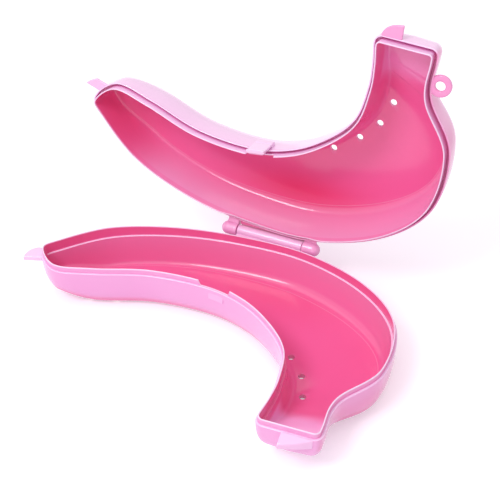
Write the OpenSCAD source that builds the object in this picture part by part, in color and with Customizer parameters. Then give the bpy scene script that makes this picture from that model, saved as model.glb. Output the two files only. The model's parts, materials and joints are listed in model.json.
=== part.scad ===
// Hinged carrying case for one banana: two moulded shells with a tongue and groove rim,
// a back hinge, a snap latch, offset pull tabs, a hang loop and rows of vent holes.
// Origin: middle of the flat underside of the base. +Z is up, the hinge runs along X,
// the tip points to -X and the hollow side of the bow faces -Y. The lid is drawn open.

/* [Outline] */
// Width across the tip rib
tip_w = 23; // [18:0.5:28]
// Width across the middle of the body
body_w = 44; // [38:0.5:50]
// Width across the bend
bend_w = 57; // [50:0.5:64]
// Width across the neck
neck_w = 31; // [27:0.5:36]
// Width across the stem end
stem_w = 30; // [26:0.5:36]
// Reach from the middle of the body to the tip rib, along X
tip_reach = 79; // [70:1:90]
// Fall from the middle of the body to the tip rib, along Y
tip_fall = 30; // [24:1:36]
// Length of the nose in front of the tip rib
nose_l = 9.5; // [8:0.5:12]
// Reach from the middle of the body to the outside of the bend, along X
bend_reach = 79; // [72:1:90]
// Fall from the middle of the body to the stem rib, along Y
stem_fall = 86; // [78:1:96]
// Length of the stem end beyond the stem rib
stem_l = 5; // [5:0.5:10]
// Corner radius of the stem end
stem_r = 4; // [3:0.5:5]

/* [Shells] */
// Depth of one shell in the middle, from the parting plane to its outside
depth = 22.5; // [19:0.5:28]
// Depth of one shell at the tip
tip_depth = 16; // [12:0.5:18]
// Depth of one shell at the stem end
stem_depth = 13; // [11:0.5:18]
// Width of the rounded corner between wall and floor where the shell is deepest
corner_w = 9.5; // [8:0.5:12]
// How much tighter the inner corner is towards the tip and the neck than in the bend
corner_tight = 4; // [0:0.5:4.5]
// Thickness of the base's floor, which steadies the open case
floor_t = 2.8; // [1.6:0.1:3.5]
// Thickness of the lid's ceiling
ceiling_t = 1.8; // [1.4:0.1:3]
// Thickness of the outer skirt of the lid's rim
skirt_t = 0.8; // [0.6:0.1:1.2]
// Thickness of each rim lip
lip_t = 0.6; // [0.5:0.1:1]
// Greatest height of each rim lip beyond the parting plane
lip_h = 3; // [2:0.25:4]
// Clearance between the nested rim walls
rim_gap = 0.3; // [0.2:0.05:0.4]
// Clearance between the faces that meet at the parting plane
part_gap = 0.2; // [0.1:0.05:0.4]

/* [Hinge] */
// Angle from closed to fully open
open_angle = 96; // [90:1:110]
// Middle of the hinge along X
hinge_x = 14.5; // [8:0.5:20]
// Length of the base's barrel
barrel_l = 36; // [28:1:42]
// Outer radius of the barrel
barrel_r = 2.9; // [2.2:0.1:3]
// Outer radius of the lid's ears
ear_r = 3.5; // [2.6:0.1:3.6]
// Length of one ear, without its round end
ear_l = 5.5; // [4:0.5:8]
// Gap between an ear and the end of the barrel
ear_gap = 0.4; // [0.3:0.1:0.8]
// Radius of the stub pin on each ear
pin_r = 1.2; // [0.9:0.1:1.4]
// Length of the stub pin inside the barrel
pin_l = 7; // [4:0.5:10]
// Radial clearance of the stub pin in the barrel
pin_gap = 0.06; // [0.04:0.01:0.1]
// Distance from the back of the rim to the hinge axis
axis_out = 3.5; // [3.4:0.1:4.5]
// Thickness of the webs that join barrel and ears to the rims
web_t = 2; // [1.4:0.1:2.2]
// Overhang of the web between the ears, short of the hinge axis
web_short = 1.4; // [1.2:0.1:2]
// Gap between that web and each ear
web_gap = 1; // [0.5:0.1:2]
// Height of the lid's lip between the ears
hinge_lip_h = 1; // [0.5:0.25:2]

/* [Latch] */
// Place of the latch along the hollow side, in ribs from the tip rib
latch_at = 3.22; // [3.1:0.02:3.5]
// Width of the gap in the rim lips behind the latch
latch_w = 13; // [11:0.5:15]
// Extra length of the gap in the base's lip, towards the tip
base_gap_more = 2.5; // [0:0.5:4]
// Width of the latch tongue and its root
tongue_w = 9.5; // [9:0.5:10.5]
// Thickness of the latch tongue
latch_t = 1.4; // [1.2:0.1:1.8]
// Reach of the tongue below the top of its barb
latch_end = 1.8; // [1.2:0.1:3]
// Height of the tongue's root above the parting plane
latch_rise = 2.4; // [2:0.2:3.5]
// Height of the fixed root pad above the tongue
root_h = 3.2; // [2.4:0.2:4]
// Depth of the barb and of the catch
barb = 0.8; // [0.6:0.1:1.1]
// Width of the catch on the base
catch_w = 8.5; // [6:0.5:9.5]
// Height of the catch on the base
catch_h = 3.4; // [2.4:0.1:4]
// Distance from the parting plane to the top of the catch
catch_z = 2; // [1.5:0.1:3]
// Running clearance of the latch
latch_gap = 0.3; // [0.25:0.05:0.4]

/* [Tabs and loop] */
// Width of the lid's stem tab
lid_stem_w = 9.5; // [7:0.5:12]
// Reach of the lid's stem tab beyond the stem end
lid_stem_out = 6.3; // [4:0.1:8]
// Width of the base's stem tab
base_stem_w = 14; // [10:0.5:14.5]
// Reach of the base's stem tab beyond the stem end
base_stem_out = 5.2; // [4:0.1:8]
// Width of the lid's tip tab
lid_tip_w = 5.5; // [5:0.5:8]
// Reach of the lid's tip tab beyond the nose
lid_tip_out = 5; // [3:0.1:6]
// Width of the base's tip tab
base_tip_w = 8; // [6:0.5:9]
// Reach of the base's tip tab beyond the nose
base_tip_out = 6.5; // [4:0.1:8]
// Thickness of the lid's tabs
lid_tab_t = 1.6; // [1.2:0.1:2.2]
// Thickness of the base's tabs at their far edge
base_tab_t = 2.6; // [1.8:0.1:2.8]
// Fall of the base's stem tab from the rim to its far edge
base_stem_fall = 2.5; // [2:0.25:4]
// Distance from the middle of the stem end to the gap between its tabs
stem_split = 2.5; // [1:0.5:4]
// Distance from the apex of the nose to the gap between the tip tabs
tip_split = 5; // [3:0.5:6]
// Outer radius of the hang loop
loop_r = 5.2; // [4.6:0.1:6.5]
// Radius of the hole in the hang loop
loop_hole_r = 2.3; // [1.8:0.1:2.6]
// Thickness of the hang loop
loop_t = 2.2; // [1.6:0.1:2.6]
// Distance from the rim to the middle of the loop's hole
loop_out = 3.6; // [3.2:0.1:4.5]
// Place of the hang loop along the back, in ribs from the tip rib
loop_at = 8.33; // [8.2:0.01:8.5]

/* [Vents] */
// Radius of a vent hole
vent_r = 1.65; // [1.2:0.05:2.2]
// Number of vent holes along the bend
bend_vents = 4; // [2:1:5]
// Number of vent holes near the tip
tip_vents = 2; // [1:1:3]
// Distance of the bend's vents from the hollow rim
bend_vent_in = 11; // [9:0.5:12.5]
// Distance of the tip's vents from the hollow rim
tip_vent_in = 6.5; // [5:0.5:9]

/* [Hidden] */
$fn = 48;

// Sides of the bow: the hollow side faces -Y and the back carries the hinge.
HOLLOW = -1;
BACK = 1;

// Rim widths, measured inwards from the outline.
lip_at = skirt_t + rim_gap;
lid_lip_at = lip_at + lip_t + rim_gap;
wall = lid_lip_at + lip_t;
lip_seat = lip_h + part_gap;

// Share of the rim clearance that the swinging lips may use up.
swing_share = 0.5;

// Outline: spline steps per rib, step of its heading, and steps around a corner of the stem end.
rib_steps = 3;
heading_step = 0.02;
stem_steps = 3;
stem_end_share = 1 / 3;

// Corner between wall and floor: steps, squareness, and the most it takes of the way to the middle line.
corner_steps = 7;
corner_power = 2 / 2.6;
corner_share = 0.85;

// The inner corner is widest at this rib and tightens on both sides of it over this many ribs.
corner_peak = 4.4;
corner_run = 1.6;

// Tabs: steps along the curved side and how full that side is, round or lean.
flap_steps = 8;
round_flap = 1;
lean_flap = 1.7;
nose_turn = 110;

// Depth runs out to the tip and the stem over these ribs.
tip_run = [0, 1];
stem_run = [6.2, 8.6];

// The floor's middle line starts and ends inside the outline, in ribs from the tip rib.
spine_run = [0, 8.5];

// Vent places along the hollow side, in ribs from the tip rib.
bend_vent_at = 4.5;
bend_vent_step = 0.68;
tip_vent_at = 0.75;
tip_vent_step = 0.55;

// A tool body reaches this far past what it cuts.
over = 1;

function mix(a, b, t) = a + (b - a) * t;
function smooth(t) = let (u = max(0, min(1, t))) u * u * (3 - 2 * u);
function heading(a) = [cos(a), sin(a)];
function unit(v) = v / norm(v);
function left_of(v) = [-v[1], v[0]];
function flip(list) = [for (i = [len(list) - 1 : -1 : 0]) list[i]];

// Ribs across the bow, from the tip to the stem end: middle, angle and width.
ribs = [
  [[-tip_reach, -tip_fall], 113, tip_w],
  [[-0.75 * tip_reach, -0.58 * tip_fall], 106, mix(tip_w, body_w, 0.67)],
  [[-0.4 * tip_reach, -0.18 * tip_fall], 101, mix(tip_w, body_w, 0.82)],
  [[0, 0], 95, body_w],
  [[0.38 * bend_reach, -0.02 * stem_fall], 76, mix(body_w, bend_w, 0.54)],
  [[0.72 * bend_reach, -0.15 * stem_fall], 58, bend_w],
  [[0.94 * bend_reach, -0.35 * stem_fall], 43, bend_w],
  [[bend_reach, -0.63 * stem_fall], 29, mix(bend_w, neck_w, 0.35)],
  [[0.93 * bend_reach, -0.84 * stem_fall], 20, neck_w],
  [[0.93 * bend_reach, -stem_fall], 4, stem_w]];
last_rib = len(ribs) - 1;
apex = [-tip_reach - nose_l, -tip_fall];

function rib_end(i, side) = ribs[i][0] + side * ribs[i][2] / 2 * heading(ribs[i][1]);
function knot(side, i) =
  i == -2 ? rib_end(0, -side)
  : i == -1 ? apex
  : i <= last_rib ? rib_end(i, side)
  : 2 * rib_end(last_rib, side) - rib_end(last_rib - 1, side);

// Point of the outline at t ribs from the tip rib: a smooth curve through the rib ends and the apex.
function edge(side, t) =
  let (
    i = min(floor(t), last_rib - 1),
    u = t - i,
    a = knot(side, i - 1),
    b = knot(side, i),
    c = knot(side, i + 1),
    d = knot(side, i + 2))
  b + u / 2 * (c - a + u * (2 * a - 5 * b + 4 * c - d + u * (3 * (b - c) + d - a)));
function edge_heading(side, t) = unit(edge(side, t + heading_step) - edge(side, t - heading_step));
function outward(side, t) = side * left_of(edge_heading(side, t));
function spine(t) =
  let (s = max(spine_run[0], min(spine_run[1], t)))
  (edge(HOLLOW, s) + edge(BACK, s)) / 2;
function depth_at(t) =
  depth
  - (depth - tip_depth) * (1 - smooth((t - tip_run[0]) / (tip_run[1] - tip_run[0])))
  - (depth - stem_depth) * smooth((t - stem_run[0]) / (stem_run[1] - stem_run[0]));

// Stem end: straight sides, two round corners and a flat end.
stem_mid = ribs[last_rib][0];
stem_across = heading(ribs[last_rib][1]);
stem_along = heading(ribs[last_rib][1] - 90);
stem_flat = stem_w / 2 - stem_r;
function stem_point(across, along) = stem_mid + across * stem_across + along * stem_along;
function stem_corner(side, a) =
  stem_point(side * (stem_flat + stem_r * cos(a)), stem_l - stem_r + stem_r * sin(a));

nose_ts = [-0.9, -0.72, -0.48, -0.24];
body_ts = [for (k = [0 : last_rib * rib_steps]) k / rib_steps];
side_ts = concat(nose_ts, body_ts);
stem_angles = [for (k = [0 : stem_steps]) 90 * k / stem_steps];
half_ts = concat(side_ts, [for (a = stem_angles) last_rib], [last_rib]);
function half_outline(side) = concat(
  [for (t = side_ts) edge(side, t)],
  [for (a = stem_angles) stem_corner(side, a)],
  [stem_point(side * stem_flat * stem_end_share, stem_l)]);

outline = concat(half_outline(HOLLOW), flip(half_outline(BACK)));
count = len(outline);
outline_ts = concat(half_ts, flip(half_ts));
targets = [for (t = outline_ts) spine(t)];
depths = [for (t = outline_ts) depth_at(max(spine_run[0], min(spine_run[1], t)))];

// Corner widths along the outline, which shrink with the depth.
function corner_swell(t) = exp(-pow((t - corner_peak) / corner_run, 2));
function inner_corner(t) = corner_w - wall / 2 - corner_tight * (1 - corner_swell(t));
outer_corners = [for (d = depths) corner_w * d / depth];
inner_corners = [for (i = [0 : len(depths) - 1]) inner_corner(outline_ts[i]) * depths[i] / depth];

// Inward corner vectors, so that a shifted outline keeps its distance from every side.
function side_normal(i) = left_of(unit(outline[(i + 1) % count] - outline[i % count]));
corner_in = [for (i = [0 : count - 1])
  let (n1 = side_normal(i + count - 1), n2 = side_normal(i)) (n1 + n2) / (1 + n1 * n2)];
function inset(d) = [for (i = [0 : count - 1]) outline[i] + d * corner_in[i]];

// Ring of the outline moved inwards by d, at height z.
function rim_ring(d, z) = [for (p = inset(d)) [p[0], p[1], z]];

// Top of the base's lip. Near the hinge it is lower, so that it swings clear of the lid's lip.
swing_gap = swing_share * rim_gap;
function lip_height(p) = min(lip_h, sqrt(swing_gap * (2 * (axis_y - p[1]) + swing_gap)));
function lip_ring(d) =
  let (inner = inset(lip_at + lip_t), ring = inset(d))
  [for (i = [0 : count - 1]) [ring[i][0], ring[i][1], -lip_height(inner[i])]];

// Ring of the wall at step a, from 0 at the rim to 90 at the floor.
// The wall is a squared quarter ellipse that leans towards the middle line.
function wall_ring(start, corners, depth_cut, z_rim, a) =
  [for (i = [0 : count - 1])
    let (
      way = targets[i] - start[i],
      reach = min(corners[i], corner_share * norm(way)),
      p = start[i] + reach * (1 - pow(cos(a), corner_power)) * unit(way),
      z = z_rim + (depths[i] - depth_cut - z_rim) * pow(sin(a), corner_power))
    [p[0], p[1], z]];
corner_angles = [for (k = [0 : corner_steps]) 90 * k / corner_steps];
outer_wall = [for (a = corner_angles) wall_ring(outline, outer_corners, 0, 0, a)];
function inner_wall(z_rim, bottom_t) =
  [for (a = corner_angles) wall_ring(inset(wall), inner_corners, bottom_t, z_rim, a)];

// Closed skin over a stack of rings that runs from the outer floor over the rim to the inner floor.
module skin(rings) {
  half = count / 2;
  last = (len(rings) - 1) * count;
  strips = [for (r = [0 : len(rings) - 2]) for (i = [0 : count - 1])
    let (a = r * count + i, b = r * count + (i + 1) % count)
    each [[a, b + count, a + count], [a, b, b + count]]];
  floors = [for (i = [0 : half - 2])
    let (h1 = i, h2 = i + 1, b1 = count - 1 - i, b2 = count - 2 - i)
    each [[h1, b1, b2], [h1, b2, h2],
          [last + h1, last + b2, last + b1], [last + h1, last + h2, last + b2]]];
  polyhedron(points = [for (r = rings) each r], faces = concat(strips, floors));
}

// Shell depths are counted away from the parting plane, so the base is the shell turned over.
module hanging() {
  translate([0, 0, depth]) mirror([0, 0, 1]) children();
}

// Frame of the closed lid, turned open about the hinge axis.
axis_y = max([for (p = outline) p[1]]) + axis_out;
axis_z = depth;
module opened() {
  translate([0, axis_y, axis_z]) rotate([-open_angle, 0, 0]) translate([0, -axis_y, 0]) children();
}

// Frame of the base's parting plane.
module at_parting() {
  translate([0, 0, depth]) children();
}

// Frame on the outline: X runs along the rim, Y points out of the case.
module on_edge(side, t) {
  p = edge(side, t);
  n = outward(side, t);
  translate([p[0], p[1], 0]) rotate([0, 0, atan2(n[1], n[0]) - 90]) children();
}

// What lies inside the outline, to trim a fitting where it meets the upright wall of the rim.
module inside_rim() {
  translate([0, 0, -depth]) linear_extrude(2 * depth) polygon(outline);
}

// Vent holes through a floor, drilled along Z.
module vents() {
  bend_ts = [for (k = [0 : bend_vents - 1]) bend_vent_at + k * bend_vent_step];
  tip_ts = [for (k = [0 : tip_vents - 1]) tip_vent_at + k * tip_vent_step];
  places = concat(
    [for (t = bend_ts) edge(HOLLOW, t) + bend_vent_in * unit(spine(t) - edge(HOLLOW, t))],
    [for (t = tip_ts) edge(HOLLOW, t) + tip_vent_in * unit(spine(t) - edge(HOLLOW, t))]);
  for (p = places) translate([p[0], p[1], lip_h + over]) cylinder(r = vent_r, h = depth);
}

// Gap in a rim lip behind the latch, longer towards the tip by more.
module latch_slot(more) {
  on_edge(HOLLOW, latch_at) translate([-latch_w / 2, -wall - over, -lip_h - over])
    cube([latch_w + more, wall + 2 * over, lip_h + over]);
}

// Profile drawn in Y and Z, made w wide along X about the middle.
module profile_across(w) {
  translate([-w / 2, 0, 0]) rotate([90, 0, 90]) linear_extrude(w) children();
}

// Flap with one straight side and a rounded far corner.
module flap(w, out, t, power, root) {
  curve = [for (k = [0 : flap_steps])
    let (a = 90 * k / flap_steps) [w * pow(sin(a), power), out * pow(cos(a), power)]];
  linear_extrude(t) polygon(concat([[0, -root]], curve, [[w, -root]]));
}

// Frame at the gap between the stem tabs: X across towards the hollow side, Y out of the case.
module at_stem() {
  p = stem_point(-stem_split, stem_l);
  translate([p[0], p[1], 0]) rotate([0, 0, ribs[last_rib][1] - 180]) children();
}

// Frame at the gap between the tip tabs: X across towards the back, Y out of the case.
module at_nose() {
  translate([apex[0], apex[1] - tip_split, 0]) rotate([0, 0, nose_turn]) children();
}

module base_shell() {
  rings = concat(
    flip(outer_wall),
    [rim_ring(lip_at, 0), lip_ring(lip_at), lip_ring(lip_at + lip_t), rim_ring(lip_at + lip_t, lip_seat)],
    inner_wall(lip_seat, floor_t));
  color("hotpink") hanging() difference() {
    skin(rings);
    vents();
    latch_slot(base_gap_more);
  }
}

// Top of the lid's lip, lower between the ears.
function by_hinge(p) = p[1] > 0 && abs(p[0] - hinge_x) < ear_x;
function lid_lip_ring(d) =
  let (ring = inset(d))
  [for (i = [0 : count - 1]) [ring[i][0], ring[i][1], by_hinge(outline[i]) ? -hinge_lip_h : -lip_h]];

// The rim edge of a ring is drawn back from the parting plane; the rest stays.
function lifted(ring, z) = [for (p = ring) [p[0], p[1], max(p[2], z)]];

module lid_shell() {
  rings = concat(
    flip([for (r = outer_wall) lifted(r, part_gap)]),
    [rim_ring(skirt_t, part_gap), rim_ring(skirt_t, lip_seat), rim_ring(lid_lip_at, lip_seat),
     lid_lip_ring(lid_lip_at), lid_lip_ring(wall)],
    inner_wall(part_gap, ceiling_t));
  color("hotpink") opened() difference() {
    skin(rings);
    vents();
    latch_slot(0);
  }
}

module hinge_barrel() {
  color("pink") at_parting() difference() {
    translate([hinge_x - barrel_l / 2, 0, 0]) difference() {
      union() {
        translate([0, axis_y, 0]) rotate([0, 90, 0]) cylinder(r = barrel_r, h = barrel_l);
        translate([0, axis_y - 2 * axis_out, -barrel_r]) cube([barrel_l, 2 * axis_out, web_t]);
      }
      translate([-over, axis_y, 0]) rotate([0, 90, 0])
        cylinder(r = pin_r + pin_gap, h = barrel_l + 2 * over);
    }
    inside_rim();
  }
}

// Ear on the lid with its stub pin; the pin points to +X.
module ear() {
  rotate([0, 90, 0]) cylinder(r = ear_r, h = ear_l);
  sphere(r = ear_r);
  translate([ear_l - over, 0, 0]) rotate([0, 90, 0]) cylinder(r = pin_r, h = over + ear_gap + pin_l);
  translate([0, -2 * axis_out, ear_r - web_t]) cube([ear_l, 2 * axis_out, web_t]);
}

ear_x = barrel_l / 2 + ear_gap + ear_l;
module hinge_ear_left() {
  color("pink") opened() difference() {
    translate([hinge_x - ear_x, axis_y, 0]) ear();
    inside_rim();
  }
}

module hinge_ear_right() {
  color("pink") opened() difference() {
    translate([hinge_x + ear_x, axis_y, 0]) mirror([1, 0, 0]) ear();
    inside_rim();
  }
}

// Straight web over the barrel, hollowed so that it turns clear of it.
module hinge_web() {
  length = barrel_l + 2 * (ear_gap - web_gap);
  color("pink") opened() difference() {
    translate([hinge_x - length / 2, axis_y, 0]) difference() {
      translate([0, -2 * axis_out, ear_r - web_t]) cube([length, 2 * axis_out - web_short, web_t]);
      translate([-over, 0, 0]) rotate([0, 90, 0]) cylinder(r = barrel_r + ear_gap, h = length + 2 * over);
    }
    inside_rim();
  }
}

// Catch: a wedge on the outside of the base's hollow wall, deepest at its lower edge.
module latch_catch() {
  top = -catch_z;
  color("pink") at_parting() difference() {
    on_edge(HOLLOW, latch_at) profile_across(catch_w)
      polygon([[-over, top], [0, top], [barb, top - catch_h], [-over, top - catch_h]]);
    inside_rim();
  }
}

// Inner face of the tongue, clear of the catch.
tongue_y = barb + latch_gap;

module latch_root() {
  color("pink") opened() difference() {
    on_edge(HOLLOW, latch_at)
      translate([-tongue_w / 2, -over, latch_rise + latch_gap])
        cube([tongue_w, over + tongue_y + latch_t, root_h]);
    inside_rim();
  }
}

// Tongue with a barb under the catch and a thumb lip that flares outwards.
module latch_tongue() {
  barb_top = -catch_z - catch_h - latch_gap;
  low = barb_top - latch_end;
  outer = tongue_y + latch_t;
  color("hotpink") opened() on_edge(HOLLOW, latch_at) {
    profile_across(tongue_w)
      polygon([
        [tongue_y, latch_rise], [tongue_y, low], [outer + barb, low], [outer + barb, low + barb],
        [outer, barb_top], [outer, latch_rise]]);
    profile_across(catch_w)
      polygon([
        [outer, barb_top], [latch_gap, barb_top], [latch_gap, (barb_top + low) / 2],
        [tongue_y, low], [outer, low]]);
  }
}

module lid_stem_tab() {
  color("pink") opened() difference() {
    translate([0, 0, part_gap]) at_stem() flap(lid_stem_w, lid_stem_out, lid_tab_t, round_flap, stem_r);
    inside_rim();
  }
}

// Wedge whose top falls away from the rim.
module base_stem_tab() {
  height = base_tab_t + base_stem_fall;
  color("pink") at_parting() difference() {
    at_stem() mirror([1, 0, 0]) difference() {
      translate([0, 0, -height]) flap(base_stem_w, base_stem_out, height, lean_flap, stem_r);
      translate([-over, 0, 0]) rotate([90, 0, 90]) linear_extrude(base_stem_w + 2 * over)
        polygon([[0, 0], [base_stem_out, -base_stem_fall], [base_stem_out + over, -base_stem_fall],
                 [base_stem_out + over, over], [0, over]]);
    }
    inside_rim();
  }
}

module lid_tip_tab() {
  color("pink") opened() difference() {
    translate([0, 0, part_gap]) at_nose() mirror([1, 0, 0])
      flap(lid_tip_w, lid_tip_out, lid_tab_t, lean_flap, nose_l);
    inside_rim();
  }
}

module base_tip_tab() {
  color("pink") at_parting() difference() {
    translate([0, 0, -base_tab_t]) at_nose() flap(base_tip_w, base_tip_out, base_tab_t, round_flap, nose_l);
    inside_rim();
  }
}

module hang_loop() {
  color("pink") opened() difference() {
    translate([0, 0, part_gap]) on_edge(BACK, loop_at) translate([0, loop_out, 0]) difference() {
      cylinder(r = loop_r, h = loop_t);
      translate([0, 0, -over]) cylinder(r = loop_hole_r, h = loop_t + 2 * over);
    }
    inside_rim();
  }
}

base_shell();
hinge_barrel();
latch_catch();
base_stem_tab();
base_tip_tab();
lid_shell();
hinge_ear_left();
hinge_ear_right();
hinge_web();
latch_root();
lid_stem_tab();
lid_tip_tab();
hang_loop();
latch_tongue();
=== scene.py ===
"""Looks of a hinged carrying case of two bow-shaped shells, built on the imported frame.

Shapes are worked out in millimetres in the case's own terms: a rim outline, depths counted away from the
parting plane, and fittings set on the rim. Each mesh is then placed in the frame, in metres.
"""

import json
import logging
from dataclasses import dataclass
from enum import Enum
from typing import Any, Callable, ClassVar, NamedTuple, Optional, Union

import bpy
import numpy as np
from mathutils import Matrix, Vector


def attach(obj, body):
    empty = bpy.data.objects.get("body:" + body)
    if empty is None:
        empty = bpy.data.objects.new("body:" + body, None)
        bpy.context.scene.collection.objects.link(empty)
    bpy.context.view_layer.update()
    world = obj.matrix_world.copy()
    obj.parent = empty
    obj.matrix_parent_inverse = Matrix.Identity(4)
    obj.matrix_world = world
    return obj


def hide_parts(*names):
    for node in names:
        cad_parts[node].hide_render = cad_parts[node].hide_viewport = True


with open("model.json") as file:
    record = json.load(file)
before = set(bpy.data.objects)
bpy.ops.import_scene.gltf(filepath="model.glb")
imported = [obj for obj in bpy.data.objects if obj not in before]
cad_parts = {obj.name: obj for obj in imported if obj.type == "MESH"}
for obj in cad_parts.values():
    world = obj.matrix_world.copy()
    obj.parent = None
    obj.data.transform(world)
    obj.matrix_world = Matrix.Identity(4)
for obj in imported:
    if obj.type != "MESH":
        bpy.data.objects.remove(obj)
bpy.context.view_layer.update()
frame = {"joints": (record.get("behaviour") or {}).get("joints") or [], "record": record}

Array = np.ndarray
Number = Union[float, Array]
Colour = tuple[float, float, float]
Place = Callable[[Array], Array]
MM = 0.001
UP = np.array([0.0, 0.0, 1.0])
# Attributes that carry the painted light and shade of a mesh, and the first two of them for each fitting:
# paler for a fitting in strong light, deeper for one in shade
TONES = ("inside", "edge", "deep")
FITTING_TONES: dict[str, tuple[float, float]] = {
    "hinge_web": (0.9, 0.0), "hinge_barrel": (0.1, 0.45), "hinge_ear_left": (0.3, 0.15),
    "hinge_ear_right": (0.3, 0.15), "latch_root": (0.0, 0.8), "latch_tongue": (0.0, 0.9),
    "latch_catch": (0.0, 0.2), "lid_stem_tab": (0.3, 0.1), "base_stem_tab": (0.0, 0.5),
    "lid_tip_tab": (0.0, 0.5), "base_tip_tab": (0.0, 0.8), "hang_loop": (0.35, 0.0)}
# Middle of the round mark that an ejector pin left in the lid's neck, as plan and depth
EJECTOR_MARK = (73.0, -78.3, 11.2)
log = logging.getLogger("case")


class Side(Enum):
    """Long sides of the bow: the hollow one carries the latch and the back one the hinge."""

    HOLLOW = -1
    BACK = 1


class Turn(Enum):
    """Way a fitting runs along its axis."""

    AHEAD = 1
    MIRRORED = -1


def ramp(x: Array, start: Number, run: float) -> Array:
    """Gives 0 up to start, 1 a run beyond it, and 3u^2 - 2u^3 at a share u of the run between."""
    u = np.clip((x - start) / run, 0.0, 1.0)
    return u * u * (3 - 2 * u)


class Fade(NamedTuple):
    """Tone that grows along a measure: its strength, its start and the run to its full, down if below 0."""

    strength: float
    start: float
    run: float

    def of(self, x: Array) -> Array:
        """Gives the tone at x."""
        return self.strength * ramp(x, self.start, self.run)


def unit(v: Array) -> Array:
    """Gives each row of v at length 1."""
    return v / np.linalg.norm(v, axis=-1, keepdims=True)


def heading(degrees: Array) -> Array:
    """Gives the plane's direction at an angle from +X, as the last axis."""
    a = np.radians(degrees)
    return np.stack([np.cos(a), np.sin(a)], axis=-1)


def left_of(v: Array) -> Array:
    """Gives each plane vector turned a quarter turn to the left."""
    return np.stack([-v[..., 1], v[..., 0]], axis=-1)


def raised(plan: Array, z: Number) -> Array:
    """Gives plan points with z as their third coordinate."""
    return np.concatenate([plan, np.broadcast_to(z, plan.shape[:-1])[..., None]], axis=-1)


def spread(length: float, radius: float, count: int, fillet: int = 5, most: float = 0.4) -> Array:
    """Spaces grid lines over a plate, closer inside the rounded edge at both ends.

    Inside an edge the lines stand at radius times 1 - cos of equal angles, and between the edges evenly.

    Args:
        length: Length of the plate.
        radius: Radius of its rounded edge.
        count: Number of lines between the edges.
        fillet: Number of lines inside each edge.
        most: Share of the length that an edge takes at most.

    Returns:
        Places from 0 to 1.
    """
    share = min(radius / length, most)
    near = share * (1 - np.cos(np.linspace(0, np.pi / 2, fillet, endpoint=False)))
    return np.concatenate([near, np.linspace(share, 1 - share, count), 1 - near[::-1]])


def rounded(path: Array, radii: Array, steps: int = 4) -> Array:
    """Rounds the inner corners of an open path.

    At each corner an arc of the given radius touches both sides: its middle lies on the bisector at
    radius / sin(half the corner's angle).

    Args:
        path: Corner points in a plane, ends included.
        radii: One radius for each corner between the ends.
        steps: Steps round one corner.

    Returns:
        Points of the rounded path.
    """
    w = np.linspace(0, 1, steps + 1)[:, None]
    parts = [path[:1]]
    for before, corner, after, radius in zip(path[:-2], path[1:-1], path[2:], radii):
        a, b = unit(before - corner), unit(after - corner)
        half = np.arccos(np.clip(a @ b, -1, 1)) / 2
        middle = corner + unit(a + b) * radius / np.sin(half)
        start, end = corner + a * radius / np.tan(half), corner + b * radius / np.tan(half)
        parts.append(middle + radius * unit((1 - w) * (start - middle) + w * (end - middle)))
    return np.concatenate(parts + [path[-1:]])


def finer(path: Array, step: float) -> Array:
    """Adds evenly spaced points to the sides of a plane path that are longer than the step.

    Args:
        path: Points of the path.
        step: Longest side that is left.

    Returns:
        Points of the finer path.
    """
    counts = np.ceil(np.linalg.norm(np.diff(path, axis=0), axis=1) / step).astype(int)
    places = np.concatenate([k + np.arange(n) / n for k, n in enumerate(counts)] + [[len(path) - 1.0]])
    number = np.arange(len(path))
    return np.stack([np.interp(places, number, path[:, k]) for k in range(2)], axis=1)


def grid_faces(index: Array) -> Array:
    """Gives the quads of a grid of point numbers."""
    corners = index[:-1, :-1], index[1:, :-1], index[1:, 1:], index[:-1, 1:]
    return np.stack(corners, axis=-1).reshape(-1, 4)


def wrapped(index: Array) -> Array:
    """Gives a grid of point numbers with its first column repeated after the last."""
    return np.concatenate([index, index[:, :1]], axis=1)


def linked(name: str, data: bpy.types.ID) -> bpy.types.Object:
    """Makes an object of a mesh, a lamp or a camera and links it to the scene.

    Args:
        name: Name of the object.
        data: What it shows.

    Returns:
        The object.
    """
    made = bpy.data.objects.new(name, data)
    bpy.context.scene.collection.objects.link(made)
    return made


@dataclass
class Skin:
    """Closed surface of one piece, in millimetres.

    Attributes:
        points: Points, one row each.
        faces: Lists of point numbers.
        tones: Painted light and shade of each point from 0 to 1: how deep the painted inner shade, how pale
            the painted highlight on a rim edge, and how strong a painted shade patch there.
    """

    points: Array
    faces: list[list[int]]
    tones: Optional[Array] = None

    def volume(self) -> float:
        """Gives the volume, negative if the faces point inwards.

        Returns:
            The volume in cubic millimetres.
        """
        corners = np.array([(f[0], f[k], f[k + 1]) for f in self.faces for k in range(1, len(f) - 1)])
        a, b, c = (self.points[corners[:, k]] for k in range(3))
        return float(np.einsum("ij,ij->i", a, np.cross(b, c)).sum() / 6)

    def placed(self, place: Place) -> "Skin":
        """Moves the skin and turns its faces outwards.

        Args:
            place: Gives the new points from the old.

        Returns:
            The moved skin.
        """
        moved = Skin(place(self.points), self.faces, self.tones)
        if moved.volume() < 0:
            moved.faces = [f[::-1] for f in self.faces]
        return moved

    def toned(self, inside: float, edge: float = 0.0) -> "Skin":
        """Gives the skin with one painted light and shade tone all over."""
        return Skin(self.points, self.faces, np.tile([[inside], [edge], [0.0]], len(self.points)))

    def mesh_object(self, name: str) -> bpy.types.Object:
        """Makes a smooth-shaded mesh object at the origin, in metres.

        Args:
            name: Name of the object and its mesh.

        Returns:
            The object, linked to the scene.
        """
        mesh = bpy.data.meshes.new(name)
        mesh.from_pydata((self.points * MM).tolist(), [], self.faces)
        for key, values in zip(TONES, self.tones):
            mesh.attributes.new(key, "FLOAT", "POINT").data.foreach_set("value", values.astype(np.float32))
        mesh.polygons.foreach_set("use_smooth", np.ones(len(mesh.polygons), dtype=bool))
        mesh.update()
        return linked(name, mesh)


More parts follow.
